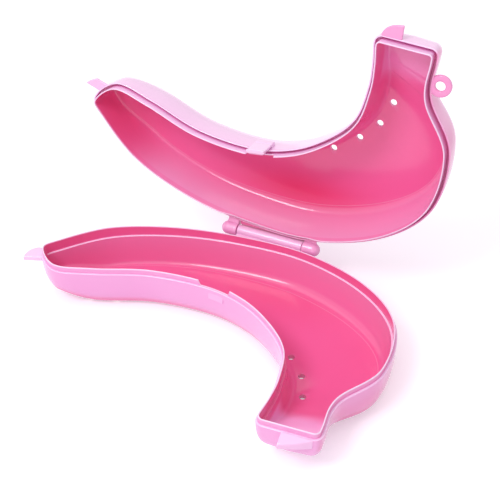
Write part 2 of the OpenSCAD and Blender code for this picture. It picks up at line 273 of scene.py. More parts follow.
def plate(points: Array, out: Array, low: Number, high: Number, radius: float, most: float = 0.49) -> Skin:
    """Makes a closed plate over a grid of points, with rounded edges.

    Both faces stand off the grid along out, by low and by high. Nearer than the radius r to the border, at
    a distance d, each face draws in by r - sqrt(r^2 - (r - d)^2), so the edge is a quarter round.

    Args:
        points: Grid of points, rows by columns by 3.
        out: Direction of the thickness.
        low: Height of the lower face at each grid point.
        high: Height of the upper face at each grid point.
        radius: Radius of the edges.
        most: Share of the thickness that a face draws in at most.

    Returns:
        The plate's skin.
    """
    border = np.full(points.shape[:2], np.inf)
    for axis in (0, 1):
        run = np.cumsum(np.linalg.norm(np.diff(points, axis=axis), axis=2), axis=axis)
        run = np.insert(run, 0, 0.0, axis=axis)
        border = np.minimum(border, np.minimum(run, run.take([-1], axis=axis) - run))
    draw = radius - np.sqrt(radius**2 - (radius - np.minimum(border, radius))**2)
    draw = np.minimum(draw, most * (high - low))
    faces = np.concatenate([points + (low + draw)[..., None] * out, points + (high - draw)[..., None] * out])
    rows, columns = points.shape[:2]
    index = np.arange(rows * columns).reshape(rows, columns)
    loop = np.concatenate([index[0, :-1], index[:-1, -1], index[-1, :0:-1], index[:0:-1, 0]])
    sides = wrapped(np.stack([loop, loop + rows * columns]))
    quads = [grid_faces(index)[:, ::-1], grid_faces(index + rows * columns), grid_faces(sides)]
    return Skin(faces.reshape(-1, 3), np.concatenate(quads).tolist())


def lathe(axial: Array, radius: Array, hollow: bool = False) -> Skin:
    """Makes a turned form about +X whose radius may change round the axis.

    The point at step k and angle f is (axial_k, r_kf cos f, r_kf sin f). A solid form closes in a pole at
    each end, and a hollow one closes from its last ring to its first.

    Args:
        axial: Place of each ring along the axis.
        radius: Radius at each ring and angle.
        hollow: Whether the rings run round a bore.

    Returns:
        The form's skin.
    """
    rings, sectors = radius.shape
    angle = np.arange(sectors) * 2 * np.pi / sectors
    points = np.stack([np.broadcast_to(axial[:, None], radius.shape),
                       radius * np.cos(angle), radius * np.sin(angle)], axis=2).reshape(-1, 3)
    index = wrapped(np.arange(rings * sectors).reshape(rings, sectors))
    if hollow:
        return Skin(points, grid_faces(np.concatenate([index, index[:1]])).tolist())
    first, last = len(points), len(points) + 1
    points = np.concatenate([points, [[axial[0], 0, 0], [axial[-1], 0, 0]]])
    near = np.stack([index[0, :-1], index[0, 1:], np.full(sectors, first)], axis=1)
    far = np.stack([index[-1, 1:], index[-1, :-1], np.full(sectors, last)], axis=1)
    return Skin(points, grid_faces(index).tolist() + near.tolist() + far.tolist())


def sleeve(rings: Array) -> Skin:
    """Closes a row of rings with a flat cap at each end.

    Args:
        rings: Rings by points by 3.

    Returns:
        The form's skin.
    """
    count, sectors = rings.shape[:2]
    index = wrapped(np.arange(count * sectors).reshape(count, sectors))
    caps = [index[0, :-1].tolist(), index[-1, -2::-1].tolist()]
    return Skin(rings.reshape(-1, 3), grid_faces(index).tolist() + caps)


Value = Union[float, Colour, "Wire"]


class Wire:
    """A shader socket; an expression on wires adds the Math nodes that work it out."""

    def __init__(self, net: "Net", socket: Optional[bpy.types.NodeSocket]) -> None:
        """Keeps the socket and the net that it belongs to."""
        self.net = net
        self.socket = socket

    def _math(self, operation: str, other: Value) -> "Wire":
        """Adds one Math node and gives its result."""
        return self.net.node("ShaderNodeMath", {"operation": operation}, {0: self, 1: other})

    def __add__(self, other: Value) -> "Wire":
        """Gives self + other."""
        return self._math("ADD", other)

    __radd__ = __add__

    def __mul__(self, other: Value) -> "Wire":
        """Gives self * other."""
        return self._math("MULTIPLY", other)

    __rmul__ = __mul__


class Net:
    """Node tree of one material or of the world."""

    def __init__(self, owner: Union[bpy.types.Material, bpy.types.World]) -> None:
        """Takes the owner's tree and empties it.

        Args:
            owner: Material or world.
        """
        owner.use_nodes = True
        self.tree = owner.node_tree
        self.tree.nodes.clear()

    def node(self, kind: str, settings: Optional[dict[str, Any]] = None,
             sockets: Optional[dict[Union[str, int], Value]] = None, out: Union[str, int] = 0) -> Wire:
        """Adds a node.

        Args:
            kind: Type of the node.
            settings: Properties, set first.
            sockets: Values or wires of its inputs, by name or number.
            out: Output to give back.

        Returns:
            Wire of that output.
        """
        made = self.tree.nodes.new(kind)
        for key, value in (settings or {}).items():
            setattr(made, key, value)
        for key, value in (sockets or {}).items():
            if isinstance(value, Wire):
                self.tree.links.new(value.socket, made.inputs[key])
            else:
                is_colour = isinstance(value, tuple) and made.inputs[key].type == "RGBA"
                made.inputs[key].default_value = (*value, 1) if is_colour else value
        return Wire(self, made.outputs[out] if len(made.outputs) else None)

    def blend(self, share: Value, a: Value, b: Value) -> Wire:
        """Gives colour a going over to colour b."""
        return self.node("ShaderNodeMix", {"data_type": "RGBA"}, {0: share, 6: a, 7: b}, 2)

    def step(self, value: Value, start: float, end: float, low: float = 0.0, high: float = 1.0) -> Wire:
        """Gives low up to a start, high from an end on, and a smooth step between."""
        return self.node("ShaderNodeMapRange", {"interpolation_type": "SMOOTHSTEP"}, {
            "Value": value, "From Min": start, "From Max": end, "To Min": low, "To Max": high})


def rgb(red: float, green: float, blue: float) -> Colour:
    """Gives the linear colour of screen values from 0 to 255."""
    c = np.array([red, green, blue]) / 255
    return tuple(float(v) for v in np.where(c <= 0.04045, c / 12.92, ((c + 0.055) / 1.055) ** 2.4))


@dataclass(frozen=True)
class GlossPlastic:
    """Moulded glossy plastic with light and shade painted into its colour: a pale outside with a painted
    sheen, deep inside for painted shade, whitish along the thin rim edges, partly thin plastic and partly a
    painted highlight.

    Attributes:
        name: Name of the material.
        outer: Colour of the outer face, paled by a painted sheen.
        inner: Colour of the inner face, deepened by painted shade.
        deep: Colour of the painted shade patches on the inner face.
        edge: Colour of thin rim edges and lit faces, partly the thin plastic and partly a painted highlight.
        deep_share: Strength of the painted shade patches' colour.
        edge_share: Strength of the edge colour and its painted highlight.
        cloud: Fineness of the soft colour clouds, per metre, with their detail and their strength inside and
            outside.
        grain: Fineness of the surface waves, per metre, with their detail, height and blur.
        mark_r: Radius of the ejector mark, in metres, with its height and the softness of its edge.
        relief: Height of the relief, in metres, that the other heights are shares of.
        roughness: Roughness of the polished face.
        ior: Refractive index.
        coat: Weight of the second, blurred gloss, with its roughness.
    """

    name: str = "pink_plastic_gloss"
    outer: Colour = rgb(244, 159, 217)
    inner: Colour = rgb(241, 105, 166)
    deep: Colour = rgb(231, 62, 112)
    edge: Colour = rgb(250, 224, 250)
    deep_share: float = 0.8
    edge_share: float = 0.8
    cloud: float = 18.0
    cloud_detail: float = 2.0
    cloud_inside: float = 0.2
    cloud_outside: float = 0.25
    grain: float = 160.0
    grain_detail: float = 3.0
    grain_h: float = 0.02
    grain_blur: float = 0.08
    mark_r: float = 0.0039
    mark_h: float = 0.15
    mark_soft: float = 0.06
    relief: float = 0.0003
    roughness: float = 0.1
    ior: float = 1.49
    coat: float = 0.25
    coat_roughness: float = 0.08

    def material(self, mark: tuple[float, float, float]) -> bpy.types.Material:
        """Makes the material: colour by painted light and shade tones and soft clouds, polish by fine waves.

        Args:
            mark: Middle of the faint round mark that an ejector pin left, in metres.

        Returns:
            The material.
        """
        material = bpy.data.materials.new(self.name)
        net = Net(material)
        place = net.node("ShaderNodeTexCoord", out="Object")
        # The tone attributes carry painted inner shade, painted edge highlights and painted shade patches
        inside, edge, deep = (net.node("ShaderNodeAttribute", {"attribute_name": key}, out="Fac")
                              for key in TONES)
        clouds, waves = (net.node("ShaderNodeTexNoise", None, {"Vector": place, "Scale": s, "Detail": d})
                         for s, d in ((self.cloud, self.cloud_detail), (self.grain, self.grain_detail)))
        away = net.node("ShaderNodeVectorMath", {"operation": "DISTANCE"}, {0: place, 1: mark}, "Value")
        disc = net.step(away, (1 - self.mark_soft) * self.mark_r, (1 + self.mark_soft) * self.mark_r)
        # core deepens towards painted shade, shell is the outside with its painted sheen, edge paints
        # highlights
        core = net.blend(self.deep_share * deep + self.cloud_inside * clouds, self.inner, self.deep)
        shell = net.blend(clouds * self.cloud_outside, self.outer, self.edge)
        colour = net.blend(edge * self.edge_share, net.blend(inside, shell, core), self.edge)
        bump = net.node("ShaderNodeBump", None, {
            "Strength": 1.0, "Distance": self.relief,
            "Height": self.grain_h * waves + self.mark_h * disc}, "Normal")
        gloss = net.node("ShaderNodeBsdfPrincipled", None, {
            "Base Color": colour, "Roughness": self.roughness + self.grain_blur * waves, "Normal": bump,
            "IOR": self.ior, "Coat Weight": self.coat, "Coat Roughness": self.coat_roughness})
        net.node("ShaderNodeOutputMaterial", None, {"Surface": gloss})
        return material


@dataclass(frozen=True)
class Rim:
    """Closed rim outline, sampled along the hollow side and back along the other.

    Attributes:
        points: Points of the outline.
        inward: Unit vectors into the case.
        targets: Points of the middle line that the wall leans towards.
        depths: Depth of the shell at each point.
        swell: How far the inner corner swells at each point, from 0 to 1.
        ends: Unit vectors out of the tip and out of the stem end.
        hinge_reach: Greatest x at which the back side is looked up.
    """

    points: Array
    inward: Array
    targets: Array
    depths: Array
    swell: Array
    ends: tuple[Array, Array]
    hinge_reach: float = 60.0

    def inset(self, distance: Number) -> Array:
        """Gives the outline moved inwards: point + distance times the inward vector."""
        return self.points + distance * self.inward

    def back_y(self, x: Array) -> Array:
        """Looks up the back side near the hinge.

        Args:
            x: Places along the hinge.

        Returns:
            The y of the outline there.
        """
        back = self.points[len(self.points) // 2:][::-1]
        near = np.abs(back[:, 0]) < self.hinge_reach
        return np.interp(x, back[near, 0], back[near, 1])


@dataclass(frozen=True)
class Bow:
    """Outline and depths of the case: ribs across a bow, from the tip to the stem end.

    Places along the bow count in ribs. The rib tables hold the middles as shares of the reaches and falls,
    the angles in degrees, and the widths as places between the five stated ones.
    """

    TIP_RIBS: ClassVar[Array] = np.array([[1, 1], [0.75, 0.58], [0.4, 0.18], [0, 0]])
    BEND_RIBS: ClassVar[Array] = np.array(
        [[0.38, -0.02], [0.72, -0.15], [0.94, -0.35], [1, -0.63], [0.93, -0.84], [0.93, -1]])
    RIB_DEGREES: ClassVar[Array] = np.array([113.0, 106, 101, 95, 76, 58, 43, 29, 20, 4])
    RIB_WIDTHS: ClassVar[Array] = np.array([0, 0.67, 0.82, 1, 1.54, 2, 2, 2.35, 3, 4])

    tip_w: float = 23.0
    body_w: float = 44.0
    bend_w: float = 57.0
    neck_w: float = 31.0
    stem_w: float = 30.0
    tip_reach: float = 79.0
    tip_fall: float = 30.0
    nose_l: float = 9.5
    bend_reach: float = 79.0
    stem_fall: float = 86.0
    stem_l: float = 5.0
    stem_r: float = 4.0
    depth: float = 22.5
    tip_depth: float = 16.0
    stem_depth: float = 13.0
    neck_at: float = 6.2
    neck_run: float = 2.4
    spine_end: float = 8.5
    latch_at: float = 3.22
    latch_w: float = 13.0
    latch_pitch: float = 29.0
    gap_more: float = 2.5
    corner_peak: float = 4.4
    corner_run: float = 1.6
    tip_start: float = -0.985
    last_rib: int = 9
    samples: int = 250
    close_run: float = 0.04
    close_samples: int = 21
    stem_corner_samples: int = 10
    stem_end_samples: int = 12
    stem_end_gap: float = 0.06

    def ribs(self) -> tuple[Array, Array, Array]:
        """Gives the middles, angles and widths of the ribs.

        Returns:
            Points, degrees and millimetres, one row for each rib.
        """
        tip, bend = np.array([self.tip_reach, self.tip_fall]), np.array([self.bend_reach, self.stem_fall])
        middles = np.concatenate([-tip * self.TIP_RIBS, bend * self.BEND_RIBS])
        stated = [self.tip_w, self.body_w, self.bend_w, self.neck_w, self.stem_w]
        return middles, self.RIB_DEGREES, np.interp(self.RIB_WIDTHS, np.arange(len(stated)), stated)

    def apex(self) -> Array:
        """Gives the foremost point of the tip."""
        return np.array([-self.tip_reach - self.nose_l, -self.tip_fall])

    def edge(self, side: Side, t: Array) -> Array:
        """Gives points of one side: a Catmull-Rom curve through the apex and the rib ends.

        Args:
            side: Side of the bow.
            t: Places in ribs from the tip rib; the apex is at -1.

        Returns:
            Points in the plane of the rim.
        """
        middles, angles, widths = self.ribs()
        half = side.value * widths[:, None] / 2 * heading(angles)
        ends = middles + half
        knots = np.concatenate([[middles[0] - half[0], self.apex()], ends, [2 * ends[-1] - ends[-2]]])
        i = np.clip(np.floor(t).astype(int), -1, self.last_rib - 1)
        u = (t - i)[:, None]
        a, b, c, d = (knots[i + k] for k in range(1, 5))
        return b + u / 2 * (c - a + u * (2 * a - 5 * b + 4 * c - d + u * (3 * (b - c) + d - a)))

    def spine(self, t: Array) -> Array:
        """Gives the middle line, halfway between both sides."""
        s = np.clip(t, 0, self.spine_end)
        return (self.edge(Side.HOLLOW, s) + self.edge(Side.BACK, s)) / 2

    def depth_at(self, t: Array) -> Array:
        """Gives the shell's depth, which runs out to the tip and the stem.

        Args:
            t: Places in ribs.

        Returns:
            The depth at each place.
        """
        s = np.clip(t, 0, self.spine_end)
        return (self.depth - (self.depth - self.tip_depth) * (1 - ramp(s, 0, 1))
                - (self.depth - self.stem_depth) * ramp(s, self.neck_at, self.neck_run))

    def stem_point(self, across: Array, along: Array) -> Array:
        """Gives points of the stem end from widths across it and lengths along it."""
        angle = self.RIB_DEGREES[-1]
        return self.ribs()[0][-1] + across[:, None] * heading(angle) + along[:, None] * heading(angle - 90)

    def on_edge(self, side: Side, t: float, step: float = 0.02) -> tuple[Array, Array]:
        """Gives a point of a side and the unit vector out of the case there."""
        near = self.edge(side, np.array([t - step, t, t + step]))
        return near[1], side.value * left_of(unit(near[2] - near[0]))

    def rim(self) -> Rim:
        """Gives the closed rim, sampled closer beside the latch, with round corners at the stem end.

        Returns:
            The rim.
        """
        gap = np.array([-self.latch_w / 2 - self.gap_more, -self.latch_w / 2, self.latch_w / 2])
        close = [np.linspace(end - self.close_run, end + self.close_run, self.close_samples)
                 for end in self.latch_at + gap / self.latch_pitch]
        t = np.unique(np.concatenate([np.linspace(self.tip_start, self.last_rib, self.samples), *close]))
        bend = np.linspace(0, np.pi / 2, self.stem_corner_samples)
        flat = self.stem_w / 2 - self.stem_r
        share = np.linspace(1, self.stem_end_gap, self.stem_end_samples)[1:]
        across = np.concatenate([flat + self.stem_r * np.cos(bend), flat * share])
        along = np.concatenate([self.stem_l - self.stem_r + self.stem_r * np.sin(bend),
                                np.full(len(share), self.stem_l)])
        hollow, back = (np.concatenate([self.edge(side, t), self.stem_point(side.value * across, along)])
                        for side in (Side.HOLLOW, Side.BACK))
        points = np.concatenate([hollow, back[::-1]])
        places = np.concatenate([t, np.full(len(across), self.last_rib)])
        places = np.concatenate([places, places[::-1]])
        tangent = unit(np.roll(points, -1, axis=0) - np.roll(points, 1, axis=0))
        swell = np.exp(-((places - self.corner_peak) / self.corner_run) ** 2)
        ends = heading(self.RIB_DEGREES[0] + 90), heading(self.RIB_DEGREES[-1] - 90)
        return Rim(points, left_of(tangent), self.spine(places), self.depth_at(places), swell, ends)


@dataclass(frozen=True)
class Hang:
    """Places of both shells in the frame: the base stands, and the lid is turned open about the hinge."""

    depth: float
    axis_y: float
    open_deg: float

    def base(self, points: Array) -> Array:
        """Gives points of the base: depths count down from the parting plane."""
        return points * [1, 1, -1] + [0, 0, self.depth]

    def lid(self, points: Array) -> Array:
        """Places points of the lid: depths count up from the parting plane, then turn about the axis.

        Args:
            points: Points with depths from the parting plane.

        Returns:
            Points in the frame, with the lid open.
        """
        a = np.radians(self.open_deg)
        y, z = points[:, 1] - self.axis_y, points[:, 2]
        return np.stack([points[:, 0], self.axis_y + y * np.cos(a) + z * np.sin(a),
                         self.depth - y * np.sin(a) + z * np.cos(a)], axis=1)


@dataclass
class Assembly:
    """Common ground of the sub-assemblies: puts a finished skin into the scene.

    Attributes:
        bow: Outline and depths of the case.
        rim: The sampled rim.
        hang: Places of both shells.
        finish: Material of the pieces.
    """

    bow: Bow
    rim: Rim
    hang: Hang
    finish: bpy.types.Material

    def fit(self, node: str, skin: Skin, place: Place) -> None:
        """Makes a piece that stands for a CAD node and rides on its body.

        Args:
            node: Name of the CAD node.
            skin: Surface of the piece.
            place: Gives its points in the frame.
        """
        # The fitting takes one painted light and shade tone: paler in strong light, deeper in shade
        piece = skin.toned(*FITTING_TONES[node]).placed(place).mesh_object(f"{node}_moulding")
        piece.data.materials.append(self.finish)
        self.settle(piece, node)

    def settle(self, piece: bpy.types.Object, node: str) -> None:
        """Evens out the shading of a piece, hangs it on the node's body and reports it.

        Args:
            piece: The piece.
            node: CAD node that it stands for.
        """
        weighted = piece.modifiers.new("even_shading", "WEIGHTED_NORMAL")
        weighted.keep_sharp = True
        bodies = frame["record"]["behaviour"]["bodies"]
        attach(piece, next(body for body, nodes in bodies.items() if node in nodes))
        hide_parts(node)
        log.info("%s: %d faces", piece.name, len(piece.data.polygons))


@dataclass(frozen=True)
class ShellTones:
    """What the painted light and shade of both shells share.

    Tones go from 0 to 1 and paint light and shade into the colour: deeper where shade falls, paler where
    light falls and along lit edges. Names in _near, _in, _out and _over are widths in millimetres, and those
    in _shade,
    _right and _glow the change in the shade, to the right of the bend and in the painted light that the
    shaded wall throws back. Fades down a wall count in shares of its depth.
    """

    light: tuple[float, float] = (0.5, 0.87)
    shade: Fade = Fade(1.0, 0.55, -0.7)
    # Strength of the painted highlight at the foot of the inner wall
    crease: float = 0.25
    # Painted light: the inside pales towards the stem end, above a depth
    end: Fade = Fade(1.0, -63.5, -10.0)
    end_depth: Fade = Fade(1.0, 6.5, 3.0)
    # Strength of the painted shade patches
    painted_shade: float = 0.4


@dataclass(frozen=True)
class BaseTones(ShellTones):
    """Painted light and shade of the base's outer wall, ledge, lip, seat and inner wall."""

    foot: Fade = Fade(0.8, 0.66, 0.16)
    outer: float = 0.25
    outer_more: Fade = Fade(0.3, 0.0, 0.6)
    under: float = 0.3
    under_share: Fade = Fade(1.0, 0.86, 0.12)
    ledge: float = 0.8
    ledge_near: float = 0.2
    ledge_in: float = 0.2
    lip: float = 0.15
    lip_shade: float = 0.35
    lip_near: float = 0.06
    lip_over: float = 0.01
    crest: float = 0.3
    face: Fade = Fade(1.0, -0.2, 0.2)
    face_down: Fade = Fade(1.0, 0.2, 0.4)
    seat: float = 0.8
    seat_near: float = 0.25
    seat_in: float = 0.02
    wall: float = 0.45
    wall_power: float = 0.7


@dataclass(frozen=True)
class LidTones(ShellTones):
    """Painted light and shade of the lid's outer wall, skirt, groove, lip and inner wall."""

    # Painted light at the stem end, weaker on the lid
    end: Fade = Fade(0.55, -63.5, -10.0)
    # Strength of the painted shade patches on the lid
    painted_shade: float = 1.0
    right: Fade = Fade(1.0, 50.0, 20.0)
    glow: Fade = Fade(1.0, -75.0, 30.0)
    outer: float = 0.3
    outer_right: float = 0.15
    outer_pale: float = 0.75
    low: Fade = Fade(1.0, 0.68, 0.3)
    low_inside: float = 0.12
    low_pale: float = 0.2
    skirt: float = 0.3
    skirt_right: float = 0.2
    skirt_in: float = 0.1
    skirt_near: float = 0.35
    skirt_over: float = 0.01
    skirt_shade: float = 0.7
    groove: float = 0.4
    groove_shade: float = 0.1
    groove_right: float = 0.7
    groove_down: Fade = Fade(1.0, 1.2, 1.0)
    groove_rise: float = 0.6
    groove_in: float = 0.4
    lip: Fade = Fade(1.0, 0.3, 0.3)
    lip_down: Fade = Fade(1.0, -0.4, 0.6)
    lip_right: float = 0.6
    lip_out: float = 0.25
    pale: float = 0.65
    pale_in: float = 0.1
    pale_top: float = 0.4
    pale_up: Fade = Fade(1.0, 1.6, -1.2)
    crest: float = 0.4
    face: Fade = Fade(1.0, -0.15, 0.15)
    face_down: Fade = Fade(1.0, 0.4, 1.2)
    face_glow: float = 0.8
    wall_glow: float = 0.85
    wall_pale: float = 0.2
    wall_power: float = 0.45


@dataclass(frozen=True)
class VentRow:
    """Row of vents: their number, first place and step in ribs, and their reach from the hollow side."""

    count: int
    first: float
    step: float
    reach: float


@dataclass
class Shells(Assembly):
    """Base and lid shells with their rims, lips and vents.

    The painted shade patches hold a strength, a middle and the half widths along x and y. The radii of a rim
    are those of its profile's corners, from the outside in.
    """

    # Patches of painted shade on the inner face: strength, middle x and y, half widths along x and y
    SHADE_PATCHES: ClassVar[Array] = np.array([[1.0, 22.0, 7.0, 34.0, 11.0], [0.35, -80.0, -18.0, 18.0, 13.0]])

    base_tones: BaseTones = BaseTones()
    lid_tones: LidTones = LidTones()
    vent_rows: tuple[VentRow, ...] = (VentRow(4, 4.5, 0.68, 11.0), VentRow(2, 0.75, 0.55, 6.5))
    base_radii: tuple[float, ...] = (0.3, 0.12, 0.26, 0.26, 0.15, 0.2)
    lid_radii: tuple[float, ...] = (0.3, 0.3, 0.2, 0.2, 0.26, 0.26)
    corner_w: float = 9.5
    corner_tight: float = 4.0
    corner_power: float = 2 / 2.6
    corner_most: float = 0.85
    floor_t: float = 2.8
    ceiling_t: float = 1.8
    skirt_t: float = 0.8
    lip_t: float = 0.6
    lip_h: float = 3.0
    rim_gap: float = 0.3
    part_gap: float = 0.2
    rim_top: float = 0.55
    rim_foot: float = 0.4
    vent_r: float = 1.65
    vent_flare: float = 0.15
    vent_past: float = 0.3
    vent_near: float = 0.35
    drill_past: float = 3.0
    drill_sectors: int = 40
    tone_rounds: int = 8
    latch_near: float = 10.0
    latch_run: float = 0.8
    hinge_x: float = 14.5
    hinge_lip_h: float = 1.0
    hinge_half: float = 30.0
    hinge_run: float = 10.0
    crease_w: float = 0.4
    end_step: float = 0.1
    end_points: int = 40
    pad_h: float = 0.35
    pad_y: float = -69.5
    pad_run: float = 1.0
    pad_from: float = 0.6
    rim_step: float = 0.5
    wall_steps: int = 20
    wall_degrees: tuple[float, float, float] = (1.0, 88.0, 89.1)
    floor_steps: int = 10
    sharp_deg: float = 28.0

    def __post_init__(self) -> None:
        """Works out the rim widths, measured inwards from the outline."""
        self.lip_at = self.skirt_t + self.rim_gap
        self.lid_lip_at = self.lip_at + self.lip_t + self.rim_gap
        self.wall = self.lid_lip_at + self.lip_t
        self.seat = self.lip_h + self.part_gap

    def wall_shares(self) -> tuple[Array, Array]:
        """Gives the shares of a wall's width and height at each ring; the last two stand at its foot.

        Returns:
            Both shares, one row for each ring.
        """
        first, last, foot = self.wall_degrees
        a = np.append(np.linspace(first, last, self.wall_steps - 3), [foot, 90.0, 90.0])
        a = np.radians(a)[:, None]
        return 1 - np.cos(a) ** self.corner_power, np.sin(a) ** self.corner_power

    def inner_corner(self) -> Array:
        """Gives the width of the inner corner at each point: widest in the bend, tighter to both ends."""
        return self.corner_w - self.wall / 2 - self.corner_tight * (1 - self.rim.swell)

    def unfolded(self, start: Array, way: Array, reach: Array) -> Array:
        """Shortens the reach of a wall at both ends, so that no row of the floor crosses the one before.

        Counted outwards along an end, each foot stands at least one step beyond the foot before it, on
        either side: the feet's places are a running greatest value of place - step * number, plus
        step * number.

        Args:
            start: Points of the wall's top.
            way: Unit vectors from there towards the middle line.
            reach: Distance of the wall's foot along them.

        Returns:
            The reach at each point.
        """
        count, half = self.end_points, len(start) // 2
        number = np.arange(count)
        eased = reach.copy()
        sides = (number[::-1], number - count), (half + number - count, half + number[::-1])
        for out, pair in zip(self.rim.ends, sides):
            for side in pair:
                top, inwards = start[side] @ out, -way[side] @ out
                foot = np.maximum.accumulate(top - reach[side] * inwards - self.end_step * number)
                eased[side] = (top - foot - self.end_step * number) / inwards
        return eased

    def wall_rings(self, inset: float, corner: Number, depth_cut: float, z_rim: float) -> Array:
        """Gives the rings of a wall from just under the rim to the floor.

        The wall is a squared quarter ellipse: at angle a the ring stands reach * (1 - cos(a)^p) towards the
        middle line, at a depth of z_rim + (depth - z_rim) * sin(a)^p. The reach shrinks with the depth. The
        last ring lies on the floor beside the crease.

        Args:
            inset: Distance of the wall's top from the outline.
            corner: Width of the corner between wall and floor where the shell is deepest.
            depth_cut: Thickness of the floor.
            z_rim: Depth of the wall's top.

        Returns:
            Rings by points by 3.
        """
        start = self.rim.inset(inset)
        way = self.rim.targets - start
        length = np.linalg.norm(way, axis=1, keepdims=True)
        full = corner * self.rim.depths / self.bow.depth
        reach = self.unfolded(start, way / length, np.minimum(full, self.corner_most * length[:, 0]))
        across, down = self.wall_shares()
        run = reach * across
        run[-1] += self.crease_w
        plan = start + run[..., None] * way / length
        return raised(plan, z_rim + (self.rim.depths - depth_cut - z_rim) * down)

    def profile(self, corners: list[list[float]], radii: tuple[float, ...]) -> Array:
        """Gives a rim's profile as insets and depths, with its corners rounded."""
        return finer(rounded(np.array(corners), np.array(radii)), self.rim_step)

    def rim_rings(self, path: Array, lip: Array) -> Array:
        """Carries a rim's profile round the outline.

        What rises over the parting plane follows the lip's height.

        Args:
            path: Rounded profile as insets and depths.
            lip: Height of the lip at each point of the outline.

        Returns:
            Rings by points by 3.
        """
        z = np.where(path[:, 1:] < 0, path[:, 1:] * lip / self.lip_h, path[:, 1:])
        return raised(self.rim.inset(path[:, :1, None]), z)

    def latch_gap(self, more: float) -> Array:
        """Works out the gap in a lip that the latch needs.

        Args:
            more: How much longer the gap is towards the tip.

        Returns:
            0 in the gap and 1 elsewhere, at each point of the outline.
        """
        point, out = self.bow.on_edge(Side.HOLLOW, self.bow.latch_at)
        offset = self.rim.points - point
        along, away = np.abs(offset @ left_of(out) + more / 2), np.abs(offset @ out)
        beside = ramp(along, (self.bow.latch_w + more) / 2, self.latch_run)
        return np.where(away < self.latch_near, beside, 1.0)

    def lid_lip(self) -> Array:
        """Gives the height of the lid's lip: full, lower between the hinge's ears, and none at the latch.

        Returns:
            The height at each point of the outline.
        """
        x, y = self.rim.points.T
        low = ramp(np.abs(x - self.hinge_x), self.hinge_half, -self.hinge_run) * (y > 0)
        return (self.lip_h + (self.hinge_lip_h - self.lip_h) * low) * self.latch_gap(0)

    def shade(self, tones: ShellTones) -> Array:
        """Gives 1 where the rim turns its back to the light, along the back of the bow, and 0 elsewhere."""
        return tones.shade.of(self.rim.inward @ np.array(tones.light))

    def crease(self, tones: ShellTones) -> Array:
        """Gives a painted highlight: the pale line at the foot of the inner wall, in the shade."""
        foot = np.arange(self.wall_steps) == self.wall_steps - 2
        return tones.crease * foot[:, None] * self.shade(tones)

    def painted_shade(self, points: Array) -> Array:
        """Gives painted shade: soft round patches, exp(-((x - a) / w)^2 - ((y - b) / h)^2).

        Args:
            points: Points with depths from the parting plane.

        Returns:
            The painted shade at each point, from 0 to 1.
        """
        x, y = points[:, :1], points[:, 1:2]
        strength, a, b, w, h = self.SHADE_PATCHES.T
        return (strength * np.exp(-((x - a) / w) ** 2 - ((y - b) / h) ** 2)).max(axis=1)

    def skin(self, rings: Array, inside: Array, edge: Array, tones: ShellTones) -> Skin:
        """Closes a stack of rings, from the outer floor over the rim to the inner floor.

        Each floor is ruled: row i runs straight from point i of the hollow side to its partner on the back.

        Args:
            rings: Rings by points by 3.
            inside: Painted inner shade of each ring and point.
            edge: Painted highlight of each ring and point.
            tones: Painted light and shade of the shell; its inside is painted paler at the stem end and
                darker in the painted shade patches.

        Returns:
            The shell's skin.
        """
        levels, count = rings.shape[:2]
        half, steps, start = count // 2, self.floor_steps, levels * count
        index = np.arange(start).reshape(levels, count)
        points, insides, edges = [rings.reshape(-1, 3)], [inside.ravel()], [edge.ravel()]
        faces = grid_faces(wrapped(index))[:, ::-1].tolist()
        share = np.linspace(0, 1, steps + 1)[1:-1, None]
        for level, ahead in ((0, False), (levels - 1, True)):
            hollow, back = index[level, :half], index[level, :half - 1:-1]
            a, b = (points[0][side[1:-1], None] for side in (hollow, back))
            floor = a + share * (b - a)
            number = start + np.arange(len(floor) * (steps - 1)).reshape(-1, steps - 1)
            rows = np.concatenate([hollow[1:-1, None], number, back[1:-1, None]], axis=1)
            patch = grid_faces(rows).tolist()
            patch.append([hollow[0], *rows[0], back[0]])
            patch.append([*rows[-1][::-1], hollow[-1], back[-1]])
            faces += [f if ahead else f[::-1] for f in patch]
            points.append(floor.reshape(-1, 3))
            insides.append(np.full(number.size, inside[level, 0]))
            edges.append(np.full(number.size, edge[level, 0]))
            start += number.size
        faces = [[int(k) for k in f] for f in faces]
        whole = np.concatenate(points)
        end = tones.end.of(whole[:, 1]) * tones.end_depth.of(whole[:, 2])
        return Skin(whole, faces, np.stack([(1 - end) * np.concatenate(insides), np.concatenate(edges),
                                            tones.painted_shade * self.painted_shade(whole)]))

    def base_skin(self) -> Skin:
        """Makes the base: outer wall, ledge, raised lip, seat and inner wall.

        The lip is lower near the hinge: at a point y behind the axis it rises to sqrt(g * (2 * y + g)) at
        most, where g is half the rim clearance, so that it swings clear of the lid's lip.

        Returns:
            The base's skin, with depths from the parting plane.
        """
        inner, g = self.lip_at + self.lip_t, self.rim_gap / 2
        behind = self.hang.axis_y - self.rim.inset(inner)[:, 1]
        lip = np.minimum(self.lip_h, np.sqrt(g * (2 * behind + g))) * self.latch_gap(self.bow.gap_more)
        path = self.profile([[0, self.rim_top], [0, 0], [self.lip_at, 0], [self.lip_at, -self.lip_h],
                             [inner, -self.lip_h], [inner, self.seat], [self.wall, self.seat],
                             [self.wall, self.seat + self.rim_foot]], self.base_radii)
        rings = [self.wall_rings(0, self.corner_w, 0, 0)[::-1], self.rim_rings(path, lip),
                 self.wall_rings(self.wall, self.inner_corner(), self.floor_t, self.seat)]
